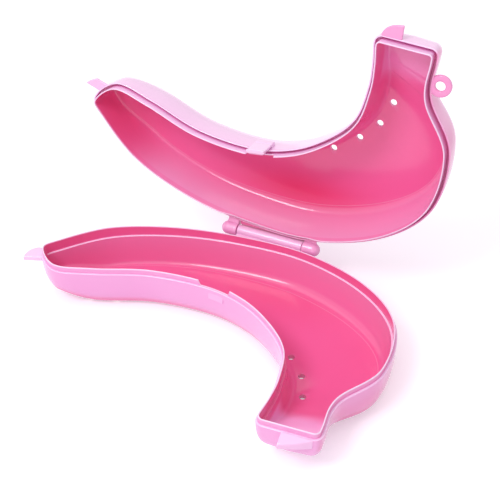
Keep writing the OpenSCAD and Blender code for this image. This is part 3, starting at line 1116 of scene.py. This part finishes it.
        # Painted light and shade: deeper at the foot and on the shaded back, painted highlights on the ledge,
        # the lip's crest and the seat, and the inner wall painted paler on the back
        t, d, z = self.base_tones, path[:, :1], path[:, 1:]
        shade, down = self.shade(t), self.wall_shares()[1]
        up = down[::-1]
        outer = np.maximum(t.foot.of(up), shade * (t.outer + t.outer_more.of(up)))
        outer = outer + (t.under - outer) * t.under_share.of(up)
        crest = z < t.crest - self.lip_h
        ledge = (np.abs(z) < t.ledge_near) * (d < self.lip_at - t.ledge_in)
        lip_out = (t.lip + t.lip_shade * shade) * (np.abs(d - self.lip_at) < t.lip_near)
        lip_out = lip_out * ~crest * (z < t.lip_over)
        face = t.face.of(d - inner) * t.face_down.of(z + self.lip_h)
        seat = (np.abs(z - self.seat) < t.seat_near) * (d > inner + t.seat_in) * shade
        rim_inside = np.maximum(face, lip_out) * (1 - seat)
        rim_edge = np.clip(crest + t.ledge * ledge + t.seat * seat, 0, 1)
        wall = 1 - t.wall * shade * (1 - down) ** t.wall_power
        return self.skin(np.concatenate(rings), np.concatenate([outer, rim_inside, wall]),
                         np.concatenate([0 * outer, rim_edge, self.crease(t)]), t)

    def lid_skin(self) -> Skin:
        """Makes the lid: outer wall, skirt, groove for the base's lip, inner lip and inner wall.

        Returns:
            The lid's skin, with depths from the parting plane.
        """
        path = self.profile([[0, self.rim_top], [0, self.part_gap], [self.skirt_t, self.part_gap],
                             [self.skirt_t, self.seat], [self.lid_lip_at, self.seat],
                             [self.lid_lip_at, -self.lip_h], [self.wall, -self.lip_h],
                             [self.wall, self.rim_foot]], self.lid_radii)
        down = self.wall_shares()[1]
        inner = self.wall_rings(self.wall, self.inner_corner(), self.ceiling_t, self.part_gap)
        pad = ramp(inner[..., 1], self.pad_y, -self.pad_run) * ramp(down, self.pad_from, 1 - self.pad_from)
        inner[..., 2] -= self.pad_h * pad
        rings = [self.wall_rings(0, self.corner_w, 0, self.part_gap)[::-1],
                 self.rim_rings(path, self.lid_lip()), inner]
        # Painted light and shade: deeper in the groove, on the shaded back and right of the bend, painted
        # highlights on the crest, skirt edge and hollow-side lip, and painted light thrown back on the inner
        # wall
        t, d, z, x = self.lid_tones, path[:, :1], path[:, 1:], self.rim.points[:, 0]
        shade, right, low = self.shade(t), t.right.of(x), t.low.of(down[::-1])
        glow = shade * t.glow.of(x)
        outer = (1 - low) * shade * (t.outer + t.outer_right * right) + t.low_inside * low
        outer_edge = t.outer_pale * (1 - low) * (1 - shade) + t.low_pale * low
        groove = (t.groove + t.groove_shade * shade) * (1 - t.groove_right * right) * (d > t.groove_in)
        groove = groove * t.groove_down.of(z + t.groove_rise * shade)
        face = t.face.of(d - self.wall) * t.face_down.of(z + self.lip_h)
        lip_face = t.lip.of(d - self.skirt_t) * t.lip_down.of(z) * shade
        lip_face = lip_face * (d < self.wall - t.lip_out) * (1 - t.lip_right * right)
        skirt = shade * (t.skirt + t.skirt_right * right * (d < self.skirt_t + t.skirt_in))
        rim_inside = np.maximum.reduce([groove, face * (1 - t.face_glow * glow), lip_face, skirt])
        pale = t.pale * (1 - shade) + shade * t.pale_up.of(z + self.lip_h)
        pale = pale * (d > self.lid_lip_at - t.pale_in) * (d < self.wall - t.lip_out) * (z < t.pale_top)
        skirt_edge = (np.abs(z - self.part_gap) < t.skirt_near) * (d < self.skirt_t + t.skirt_over)
        rim_edge = np.maximum(z < t.crest - self.lip_h, pale) + skirt_edge * (1 - t.skirt_shade * shade)
        lit = glow * (1 - down) ** t.wall_power
        return self.skin(
            np.concatenate(rings), np.concatenate([outer, rim_inside, 1 - t.wall_glow * lit]),
            np.concatenate([outer_edge, np.clip(rim_edge, 0, 1), self.crease(t) + t.wall_pale * lit]), t)

    def vent_places(self) -> tuple[Array, Array]:
        """Gives the middles of the vents and the depth of the shell at each.

        Returns:
            Plan points and depths.
        """
        t = np.concatenate([row.first + row.step * np.arange(row.count) for row in self.vent_rows])
        reach = np.concatenate([np.full((row.count, 1), row.reach) for row in self.vent_rows])
        hollow = self.bow.edge(Side.HOLLOW, t)
        return hollow + reach * unit(self.bow.spine(t) - hollow), self.bow.depth_at(t)

    def vents(self, bottom_t: float) -> Skin:
        """Makes the tool that cuts the vents: a drill for each, countersunk where it meets both faces.

        Within the flare f of a face the radius grows by f - d at a distance d from it, and on past the face.

        Args:
            bottom_t: Thickness of the floor that is cut.

        Returns:
            The drills side by side, with depths from the parting plane.
        """
        f, past, far = self.vent_flare, self.vent_past, self.drill_past
        d = np.array([-far, -past, f, bottom_t - f, bottom_t + past, bottom_t + far])
        radius = self.vent_r + f - np.clip(np.minimum(d, bottom_t - d), -past, f)
        drill = lathe(d, np.repeat(radius[:, None], self.drill_sectors, axis=1))
        upright = drill.points[:, [1, 2, 0]] * [1, 1, -1]
        points = (np.column_stack(self.vent_places())[:, None] + upright).reshape(-1, 3)
        shifts = range(0, len(points), len(upright))
        # The drills carry the full painted inner shade
        return Skin(points, [[k + shift for k in f] for shift in shifts for f in drill.faces]).toned(1.0)

    def tone_vents(self, mesh: bpy.types.Mesh, points: Array) -> None:
        """Gives the points that the cut made the painted light and shade tones of the faces around them.

        Points near a vent start without a tone. In each round, such a point takes the mean of those of its
        neighbours along the edges that have one.

        Args:
            mesh: Mesh of the cut shell.
            points: Its points, with depths from the parting plane.
        """
        away = np.linalg.norm(points[:, None, :2] - self.vent_places()[0], axis=2).min(axis=1)
        fresh = away < self.vent_r + self.vent_flare + self.vent_near
        ends = np.empty(2 * len(mesh.edges), dtype=np.int32)
        mesh.edges.foreach_get("vertices", ends)
        a, b = np.concatenate([ends.reshape(-1, 2), ends.reshape(-1, 2)[:, ::-1]]).T
        for key in TONES:
            tones = np.empty(len(points), dtype=np.float32)
            mesh.attributes[key].data.foreach_get("value", tones)
            known = ~fresh
            for _ in range(self.tone_rounds):
                total, count = (np.bincount(a, values[b], len(points)) for values in (tones * known, known))
                tones = np.where(fresh & (count > 0), total / np.maximum(count, 1), tones)
                known = known | (count > 0)
            mesh.attributes[key].data.foreach_set("value", tones.astype(np.float32))

    def cut(self, node: str, shell: Skin, bottom_t: float, place: Place) -> None:
        """Cuts the vents out of a shell in its own terms, then sets it in its place in the scene.

        Args:
            node: CAD node that the shell stands for.
            shell: Skin of the shell, with depths from the parting plane.
            bottom_t: Thickness of the floor that is cut.
            place: Gives the shell's points in the frame.
        """
        piece = shell.placed(np.array).mesh_object(f"{node}_moulding")
        tool = self.vents(bottom_t).placed(np.array).mesh_object(f"{node}_drills")
        piece.data.materials.append(self.finish)
        tool.data.materials.append(self.finish)
        cutter = piece.modifiers.new("vents", "BOOLEAN")
        cutter.operation, cutter.solver, cutter.object = "DIFFERENCE", "MANIFOLD", tool
        graph = bpy.context.evaluated_depsgraph_get()
        mesh = bpy.data.meshes.new_from_object(piece.evaluated_get(graph))
        piece.modifiers.clear()
        piece.data = mesh
        bpy.data.objects.remove(tool)
        points = np.empty(3 * len(mesh.vertices))
        mesh.vertices.foreach_get("co", points)
        points = points.reshape(-1, 3) / MM
        self.tone_vents(mesh, points)
        mesh.vertices.foreach_set("co", (place(points) * MM).ravel())
        if np.linalg.det(place(np.eye(3)) - place(np.zeros((3, 3)))) < 0:
            mesh.flip_normals()
        mesh.set_sharp_from_angle(angle=np.radians(self.sharp_deg))
        mesh.update()
        self.settle(piece, node)

    def build(self) -> None:
        """Builds both shells."""
        self.cut("base_shell", self.base_skin(), self.floor_t, self.hang.base)
        self.cut("lid_shell", self.lid_skin(), self.ceiling_t, self.hang.lid)


@dataclass
class Hinge(Assembly):
    """Hinge on the back rim: a bored barrel on the base and two domed ears with stub pins on the lid."""

    middle_x: float = 14.5
    barrel_l: float = 36.0
    barrel_r: float = 2.9
    barrel_radii: tuple[float, ...] = (0.2, 0.35)
    barrel_root: float = 0.8
    bore_r: float = 1.26
    ear_r: float = 3.5
    ear_l: float = 5.5
    ear_gap: float = 0.4
    ear_radii: tuple[float, ...] = (0.4, 0.1, 0.3)
    ear_root: float = 0.5
    dome_angle: float = 0.03
    dome_end: float = 0.2
    dome_steps: int = 14
    pin_r: float = 1.2
    pin_l: float = 7.0
    pin_pole_r: float = 0.05
    web_t: float = 2.0
    web_short: float = 1.4
    web_gap: float = 0.7
    web_root: float = 0.5
    web_far: float = 4.0
    web_radii: tuple[float, ...] = (0.1, 0.5, 0.5, 0.5, 0.5, 0.1, 0.2)
    web_arc_steps: int = 6
    web_steps: int = 40
    web_ends: tuple[float, float] = (0.9, 0.98)
    web_draw: float = 0.15
    ear_web: Fade = Fade(1.0, -1.0, 1.0)
    ear_web_out: Fade = Fade(1.0, 2.2, 0.8)
    edge_steps: int = 5
    sectors: int = 96

    def webbed(self, x: Array, r: float, root: float, least: float = 1e-6) -> Array:
        """Gives radii round the axis that reach out to the rim as a web on one side.

        Towards the rim, between the directions of the web's near and far face, the radius is the least of
        reach / cos and r / sin; elsewhere it is r.

        Args:
            x: Place of each ring along the rim.
            r: Plain radius, and height of the web's far face over the axis.
            root: How far the web enters the rim's wall.
            least: Least sine and cosine that is divided by.

        Returns:
            Radius at each ring and angle, with the angle counted from +Y towards the far face.
        """
        angle = np.arange(self.sectors) * 2 * np.pi / self.sectors
        c, s = -np.cos(angle), np.sin(angle)
        reach = (self.hang.axis_y - self.rim.back_y(x) + root)[:, None]
        web = np.minimum(reach / np.maximum(c, least), r / np.maximum(s, least))
        inside = (c > 0) & (s > 0) & (np.tan(np.pi - angle) > (r - self.web_t) / reach)
        return np.where(inside, np.maximum(web, r), r)

    def barrel(self) -> Skin:
        """Makes the barrel: rings run out over its rounded ends and back through the bore.

        Returns:
            The barrel's skin about the axis.
        """
        r, b, half = self.barrel_r, self.bore_r, self.barrel_l / 2
        path = rounded(np.array([[0, b], [half, b], [half, r], [0, r]]),
                       np.array(self.barrel_radii), self.edge_steps)
        path = np.concatenate([path[:-1], path[::-1][:-1] * [-1, 1]])
        x = self.middle_x + path[:, 0]
        web = self.webbed(x, r, self.barrel_root) - r
        return lathe(x, path[:, 1:] + ramp(path[:, 1:], b, r - b) * web, hollow=True)

    def ear(self, turn: Turn) -> Skin:
        """Makes an ear: a dome, a short cylinder with its web, and a stub pin.

        Args:
            turn: Ahead for the left ear, whose pin points to +X, or mirrored for the right one.

        Returns:
            The ear's skin about the axis.
        """
        r, pin_r, end = self.ear_r, self.pin_r, self.ear_l + self.ear_gap + self.pin_l
        a = np.linspace(self.dome_angle, np.pi / 2, self.dome_steps)
        dome = np.stack([-r * np.cos(a), r * np.sin(a)], axis=1)
        corners = [[self.dome_end, r], [self.ear_l, r], [self.ear_l, pin_r], [end, pin_r],
                   [end, self.pin_pole_r]]
        rest = rounded(np.array(corners), np.array(self.ear_radii), self.edge_steps)
        path = np.concatenate([dome, rest])
        start = self.middle_x - turn.value * (self.barrel_l / 2 + self.ear_gap + self.ear_l)
        x = start + turn.value * path[:, 0]
        share = self.ear_web.of(path[:, :1]) * self.ear_web_out.of(path[:, 1:])
        return lathe(x, path[:, 1:] + share * (self.webbed(x, r, self.ear_root) - r))

    def web(self) -> Skin:
        """Makes the straight web between the ears: a profile, hollow over the barrel, carried along the rim.

        Each ring holds the rounded profile in heights over the axis; its two rim points follow the outline,
        and the first and last ring draw in towards their middle.

        Returns:
            The web's skin about the axis.
        """
        low, high, short = self.ear_r - self.web_t, self.ear_r, self.web_short
        r = self.barrel_r + self.ear_gap
        first, last = 180 - np.degrees(np.arcsin(low / r)), np.degrees(np.arccos(-short / r))
        arc = r * heading(np.linspace(first, last, self.web_arc_steps))
        path = rounded(np.concatenate([[[-self.web_far, low]], arc, [[-short, high], [-self.web_far, high]]]),
                       np.array(self.web_radii))
        half, (near, end) = self.barrel_l / 2 + self.ear_gap - self.web_gap, self.web_ends
        share = np.concatenate([[-1, -end], np.linspace(-near, near, self.web_steps), [end, 1]])
        rings = np.empty((len(share), len(path), 3))
        x = self.middle_x + half * share
        rings[..., 0], rings[..., 1:] = x[:, None], path
        rings[:, [0, -1], 1] = (self.rim.back_y(x) - self.web_root - self.hang.axis_y)[:, None]
        for k in (0, -1):
            rings[k, :, 1:] += self.web_draw * (rings[k, :, 1:].mean(axis=0) - rings[k, :, 1:])
        return sleeve(rings)

    def on_axis(self, place: Place) -> Place:
        """Gives the placement of points that are counted from the hinge's axis."""
        return lambda p: place(p + [0, self.hang.axis_y, 0])

    def build(self) -> None:
        """Builds the web, the barrel and both ears."""
        base, lid = self.on_axis(self.hang.base), self.on_axis(self.hang.lid)
        self.fit("hinge_web", self.web(), lid)
        self.fit("hinge_barrel", self.barrel(), base)
        self.fit("hinge_ear_left", self.ear(Turn.AHEAD), lid)
        self.fit("hinge_ear_right", self.ear(Turn.MIRRORED), lid)


@dataclass
class Latch(Assembly):
    """Snap latch on the hollow side: root pad and tongue on the lid, catch on the base."""

    tongue_w: float = 9.5
    tongue_t: float = 1.4
    tongue_edge_r: float = 0.35
    tongue_rows: int = 40
    end: float = 1.8
    rise: float = 2.4
    root_h: float = 3.2
    root_in: float = 0.6
    root_edge_r: float = 0.5
    root_rows: int = 6
    barb: float = 0.8
    barb_run: float = 0.15
    barb_side_run: float = 0.4
    thumb_over: float = 0.4
    thumb_run: float = 1.6
    thumb_wave: float = 0.25
    catch_w: float = 8.5
    catch_h: float = 3.4
    catch_z: float = 2.0
    catch_in: float = 0.5
    catch_top: float = 0.06
    catch_edge_r: float = 0.2
    catch_rows: int = 10
    gap: float = 0.3
    columns: int = 15

    def grid(self, width: float, z: Array, radius: float) -> tuple[Array, Array, Array]:
        """Lays a grid over the hollow rim at the latch.

        Args:
            width: Width along the rim.
            z: Heights of the rows over the parting plane.
            radius: Radius of the piece's edges.

        Returns:
            The grid's points, the direction out of the case, and the places of the columns about the middle.
        """
        point, out = self.bow.on_edge(Side.HOLLOW, self.bow.latch_at)
        s = (spread(width, radius, self.columns) - 0.5) * width
        plan = np.broadcast_to(point - s[:, None] * left_of(out), (len(z), len(s), 2))
        return raised(plan, z[:, None]), np.array([*out, 0.0]), s

    def root(self) -> Skin:
        """Makes the root pad: a rounded plate that stands off the lid's wall.

        Returns:
            The pad's skin over the closed parting plane.
        """
        r, height = self.root_edge_r, self.root_h
        z = self.rise + self.gap + height * spread(height, r, self.root_rows)
        points, out, _ = self.grid(self.tongue_w, z, r)
        return plate(points, out, -self.root_in, self.barb + self.gap + self.tongue_t, r)

    def tongue(self) -> Skin:
        """Makes the tongue: a strip whose inner face bears a barb and whose lower end flares to a thumb lip.

        The barb stands where the height is below the catch, within the catch's width. The thumb lip swells
        in the middle, as one wave of a cosine along the width.

        Returns:
            The tongue's skin over the closed parting plane.
        """
        top_of_barb = -self.catch_z - self.catch_h - self.gap
        low = top_of_barb - self.end
        z = low + (self.rise - low) * spread(self.rise - low, self.tongue_edge_r, self.tongue_rows)
        points, out, s = self.grid(self.tongue_w, z, self.tongue_edge_r)
        z = z[:, None]
        hook = ramp(z, top_of_barb, -self.barb_run) * ramp(z, low, self.end / 2)
        hook = hook * ramp(np.abs(s), self.catch_w / 2, -self.barb_side_run)
        wave = 1 - self.thumb_wave + self.thumb_wave * np.cos(2 * np.pi * s / self.tongue_w)
        lip = ramp(z, top_of_barb + self.thumb_over, -self.thumb_run) * wave
        inner = self.barb + self.gap - self.barb * hook
        outer = self.barb + self.gap + self.tongue_t + self.barb * lip
        return plate(points, out, inner, outer, self.tongue_edge_r)

    def catch(self) -> Skin:
        """Makes the catch: a wedge that stands out of the base's wall from little down to its lower edge.

        Returns:
            The catch's skin over the closed parting plane.
        """
        share = spread(self.catch_h, self.catch_edge_r, self.catch_rows)
        points, out, _ = self.grid(self.catch_w, -self.catch_z - self.catch_h * share, self.catch_edge_r)
        high = self.catch_top + (self.barb - self.catch_top) * share[:, None]
        return plate(points, out, -self.catch_in, high, self.catch_edge_r)

    def build(self) -> None:
        """Builds the root pad, the tongue and the catch."""
        self.fit("latch_root", self.root(), self.hang.lid)
        self.fit("latch_tongue", self.tongue(), self.hang.lid)
        self.fit("latch_catch", self.catch(), lambda p: p + self.hang.depth * UP)


@dataclass(frozen=True)
class Flap:
    """Plan of a pull tab.

    Attributes:
        turn: Way it runs from the gap between two tabs.
        width: Width along the rim.
        out: Reach out of the rim.
        power: Fullness of the far edge.
        root: Depth of the near edge in the wall.
    """

    turn: Turn
    width: float
    out: float
    power: float
    root: float


@dataclass
class Tabs(Assembly):
    """Pull tabs at the stem end and the tip, and the hang loop on the neck."""

    lid_stem: Flap = Flap(Turn.AHEAD, 9.5, 6.3, 1.0, 0.5)
    base_stem: Flap = Flap(Turn.MIRRORED, 14.0, 5.2, 1.7, 0.9)
    lid_tip: Flap = Flap(Turn.MIRRORED, 5.5, 5.0, 1.7, 0.5)
    base_tip: Flap = Flap(Turn.AHEAD, 8.0, 6.5, 1.0, 0.9)
    lid_tab_t: float = 1.6
    base_tab_t: float = 2.6
    edge_r: float = 0.5
    columns: int = 24
    rows: int = 14
    far_share: float = 0.9995
    far_least: float = 0.3
    stem_fall: float = 2.5
    stem_split: float = 2.5
    tip_split: float = 5.0
    nose_turn: float = 110.0
    part_gap: float = 0.2
    loop_r: float = 5.2
    loop_hole_r: float = 2.3
    loop_t: float = 2.2
    loop_out: float = 3.6
    loop_in: float = 0.4
    loop_at: float = 8.33
    loop_power: float = 0.55
    loop_steps: int = 36
    loop_sectors: int = 72

    def grid(self, flap: Flap, origin: Array, turn_deg: float) -> tuple[Array, Array]:
        """Lays a grid over a flap from inside the rim's wall to the flap's far edge.

        At a share x of the width the far edge stands out * (1 - x^(2/p))^(p/2) from the gap's frame, and the
        near edge follows the outline, moved inwards by the root.

        Args:
            flap: Plan of the flap.
            origin: Point of the gap between two tabs.
            turn_deg: Heading of the frame's X axis.

        Returns:
            The grid's plan points, and the distance of each from the frame's X axis.
        """
        x_axis, y_axis = flap.turn.value * heading(turn_deg), heading(turn_deg + 90)
        local = self.rim.points - origin
        u, v = local @ x_axis, local @ y_axis
        front = v > -self.bow.nose_l
        order = np.argsort(u[front])
        share = spread(flap.width, self.edge_r, self.columns)
        near = np.interp(share * flap.width, u[front][order], v[front][order]) - flap.root
        rest = 1 - np.minimum(share, self.far_share) ** (2 / flap.power)
        far = np.maximum(flap.out * rest ** (flap.power / 2), near + flap.root + self.far_least)
        y = near + spread(flap.out, self.edge_r, self.rows)[:, None] * (far - near)
        return origin + (share * flap.width)[:, None] * x_axis + y[..., None] * y_axis, y

    def tab(self, flap: Flap, gap: tuple[Array, float], top: float, bottom: float, fall: float = 0.0) -> Skin:
        """Makes a tab between two depths from the parting plane.

        Args:
            flap: Plan of the tab.
            gap: Point of the gap between two tabs and heading of its frame.
            top: Depth of the top at the rim.
            bottom: Depth of the underside.
            fall: How much deeper the top lies at the full reach.

        Returns:
            The tab's skin.
        """
        plan, y = self.grid(flap, *gap)
        return plate(raised(plan, 0.0), UP, top + fall * np.maximum(y, 0) / flap.out, bottom, self.edge_r)

    def loop(self) -> Skin:
        """Makes the hang loop: a ring with a rounded section, flattened where it enters the wall.

        Returns:
            The loop's skin over the closed parting plane.
        """
        middle = (self.loop_r + self.loop_hole_r) / 2
        half_w, half_t = (self.loop_r - self.loop_hole_r) / 2, self.loop_t / 2
        a = np.linspace(0, 2 * np.pi, self.loop_steps, endpoint=False)
        circle = np.stack([np.cos(a), np.sin(a)], axis=1)
        section = np.sign(circle) * np.abs(circle) ** self.loop_power
        radius = np.repeat(middle + half_w * section[:, :1], self.loop_sectors, axis=1)
        point, out = self.bow.on_edge(Side.BACK, self.loop_at)

        def place(p: Array) -> Array:
            """Sets the ring's axis upright and keeps its points out of the rim's groove."""
            y = np.maximum(self.loop_out + p[:, 1:2], -self.loop_in)
            return raised(point + y * out + p[:, 2:] * left_of(out), p[:, 0] + self.part_gap + half_t)

        return lathe(half_t * section[:, 1], radius, hollow=True).placed(place)

    def build(self) -> None:
        """Builds the four tabs and the loop."""
        stem_end = self.bow.stem_point(np.array([-self.stem_split]), np.array([self.bow.stem_l]))[0]
        stem = stem_end, self.bow.RIB_DEGREES[-1] - 180
        nose = self.bow.apex() - [0, self.tip_split], self.nose_turn
        depths = self.part_gap, self.part_gap + self.lid_tab_t
        base_stem = self.tab(self.base_stem, stem, 0.0, self.base_tab_t + self.stem_fall, self.stem_fall)
        base_tip = self.tab(self.base_tip, nose, 0.0, self.base_tab_t)
        self.fit("lid_stem_tab", self.tab(self.lid_stem, stem, *depths), self.hang.lid)
        self.fit("base_stem_tab", base_stem, self.hang.base)
        self.fit("lid_tip_tab", self.tab(self.lid_tip, nose, *depths), self.hang.lid)
        self.fit("base_tip_tab", base_tip, self.hang.base)
        self.fit("hang_loop", self.loop(), self.hang.lid)


@dataclass(frozen=True)
class Lamp:
    """Rectangular lamp: its place and size in metres and its power in watts."""

    name: str
    place: tuple[float, float, float]
    size: tuple[float, float]
    power: float


@dataclass
class Studio:
    """Pale floor, soft lamps and the camera.

    The floor's own glow goes from one strength to another between two distances from the middle.
    """

    target: tuple[float, float, float] = (0.002, 0.0115, 0.0225)
    distance: float = 0.51938
    azimuth: float = 26.24
    elevation: float = 38.475
    roll: float = -1.529
    lens: float = 73.23
    sensor: float = 36.0
    shift: tuple[float, float] = (0.02935, -0.0008)
    floor_half: float = 4.0
    floor_tint: Colour = (0.87, 0.82, 0.89)
    glow_reach: tuple[float, float] = (0.25, 0.9)
    glow_strength: tuple[float, float] = (0.34, 0.7)
    white: Colour = (1.0, 1.0, 1.0)
    sky_light: float = 0.6
    lamps: tuple[Lamp, ...] = (Lamp("top", (-0.2, 0.0, 1.2), (1.4, 1.2), 4.0),
                               Lamp("front", (0.3, -1.1, 0.6), (1.2, 0.9), 2.0),
                               Lamp("window", (-0.28, -0.7, 1.03), (0.38, 0.36), 5.0))

    def seen(self, net: Net) -> Wire:
        """Gives 1 for rays from the camera, off gloss or through glass, and 0 for light.

        Args:
            net: Tree to add to.

        Returns:
            Wire of that value.
        """
        camera, glossy, through = (net.node("ShaderNodeLightPath", out=f"Is {kind} Ray")
                                   for kind in ("Camera", "Glossy", "Transmission"))
        return camera + glossy + through

    def floor(self) -> None:
        """Lays a wide white floor that takes shadows."""
        h = self.floor_half
        mesh = bpy.data.meshes.new("floor")
        mesh.from_pydata([(-h, -h, 0), (h, -h, 0), (h, h, 0), (-h, h, 0)], [], [(0, 1, 2, 3)])
        floor = linked("floor", mesh)
        material = bpy.data.materials.new("floor_white")
        net = Net(material)
        seen = self.seen(net)
        matt = net.node("ShaderNodeBsdfDiffuse", None, {"Color": self.floor_tint})
        place = net.node("ShaderNodeTexCoord", out="Object")
        away = net.node("ShaderNodeVectorMath", {"operation": "LENGTH"}, {0: place}, "Value")
        far = net.step(away, *self.glow_reach, *self.glow_strength)
        glow = net.node("ShaderNodeEmission", None, {"Color": self.white, "Strength": far * seen})
        both = net.node("ShaderNodeAddShader", None, {0: matt, 1: glow})
        net.node("ShaderNodeOutputMaterial", None, {"Surface": both})
        mesh.materials.append(material)

    def sky(self) -> None:
        """Makes an even white surround, seen as plain white."""
        world = bpy.data.worlds.new("surround")
        bpy.context.scene.world = world
        net = Net(world)
        strength = self.sky_light + (1 - self.sky_light) * self.seen(net)
        back = net.node("ShaderNodeBackground", None, {"Color": self.white, "Strength": strength})
        net.node("ShaderNodeOutputWorld", None, {"Surface": back})

    def light(self, lamp: Lamp) -> None:
        """Adds a lamp that faces the object.

        Args:
            lamp: Lamp to add.
        """
        data = bpy.data.lights.new(lamp.name, "AREA")
        data.shape, data.energy = "RECTANGLE", lamp.power
        data.size, data.size_y = lamp.size
        made = linked(lamp.name, data)
        made.location = lamp.place
        made.rotation_euler = (Vector(self.target) - Vector(lamp.place)).to_track_quat("-Z", "Y").to_euler()

    def camera(self) -> None:
        """Sets the camera from its azimuth, elevation, roll and distance."""
        a, e, r = np.radians([self.azimuth, self.elevation, self.roll])
        back = np.array([np.sin(a) * np.cos(e), -np.cos(a) * np.cos(e), np.sin(e)])
        right = np.array([np.cos(a), np.sin(a), 0])
        up = np.cross(back, right)
        across, upward = np.cos(r) * right + np.sin(r) * up, np.cos(r) * up - np.sin(r) * right
        axes = np.stack([across, upward, back], axis=1)
        data = bpy.data.cameras.new("camera")
        data.lens, data.sensor_width = self.lens, self.sensor
        data.shift_x, data.shift_y = self.shift
        camera = linked("camera", data)
        place = Matrix.Translation(np.array(self.target) + self.distance * back)
        camera.matrix_world = place @ Matrix(axes.tolist()).to_4x4()
        bpy.context.scene.camera = camera

    def build(self) -> None:
        """Sets up floor, surround, lamps, camera and plain colour handling."""
        self.floor()
        self.sky()
        for lamp in self.lamps:
            self.light(lamp)
        self.camera()
        bpy.context.scene.view_settings.view_transform = "Standard"


def main() -> None:
    """Builds the shells and their fittings in order, then the studio."""
    logging.basicConfig(level=logging.INFO, format="%(name)s: %(message)s")
    bow = Bow()
    rim = bow.rim()
    hinge = next(j for j in frame["joints"] if j["name"] == "lid_hinge")
    hang = Hang(bow.depth, hinge["pos_m"][1] / MM, hinge["range_deg"][1])
    mark = hang.lid(np.array([EJECTOR_MARK]))[0] * MM
    finish = GlossPlastic().material(tuple(float(v) for v in mark))
    for assembly in (Shells, Hinge, Latch, Tabs):
        assembly(bow, rim, hang, finish).build()
    Studio().build()


if __name__ == "__main__":
    main()
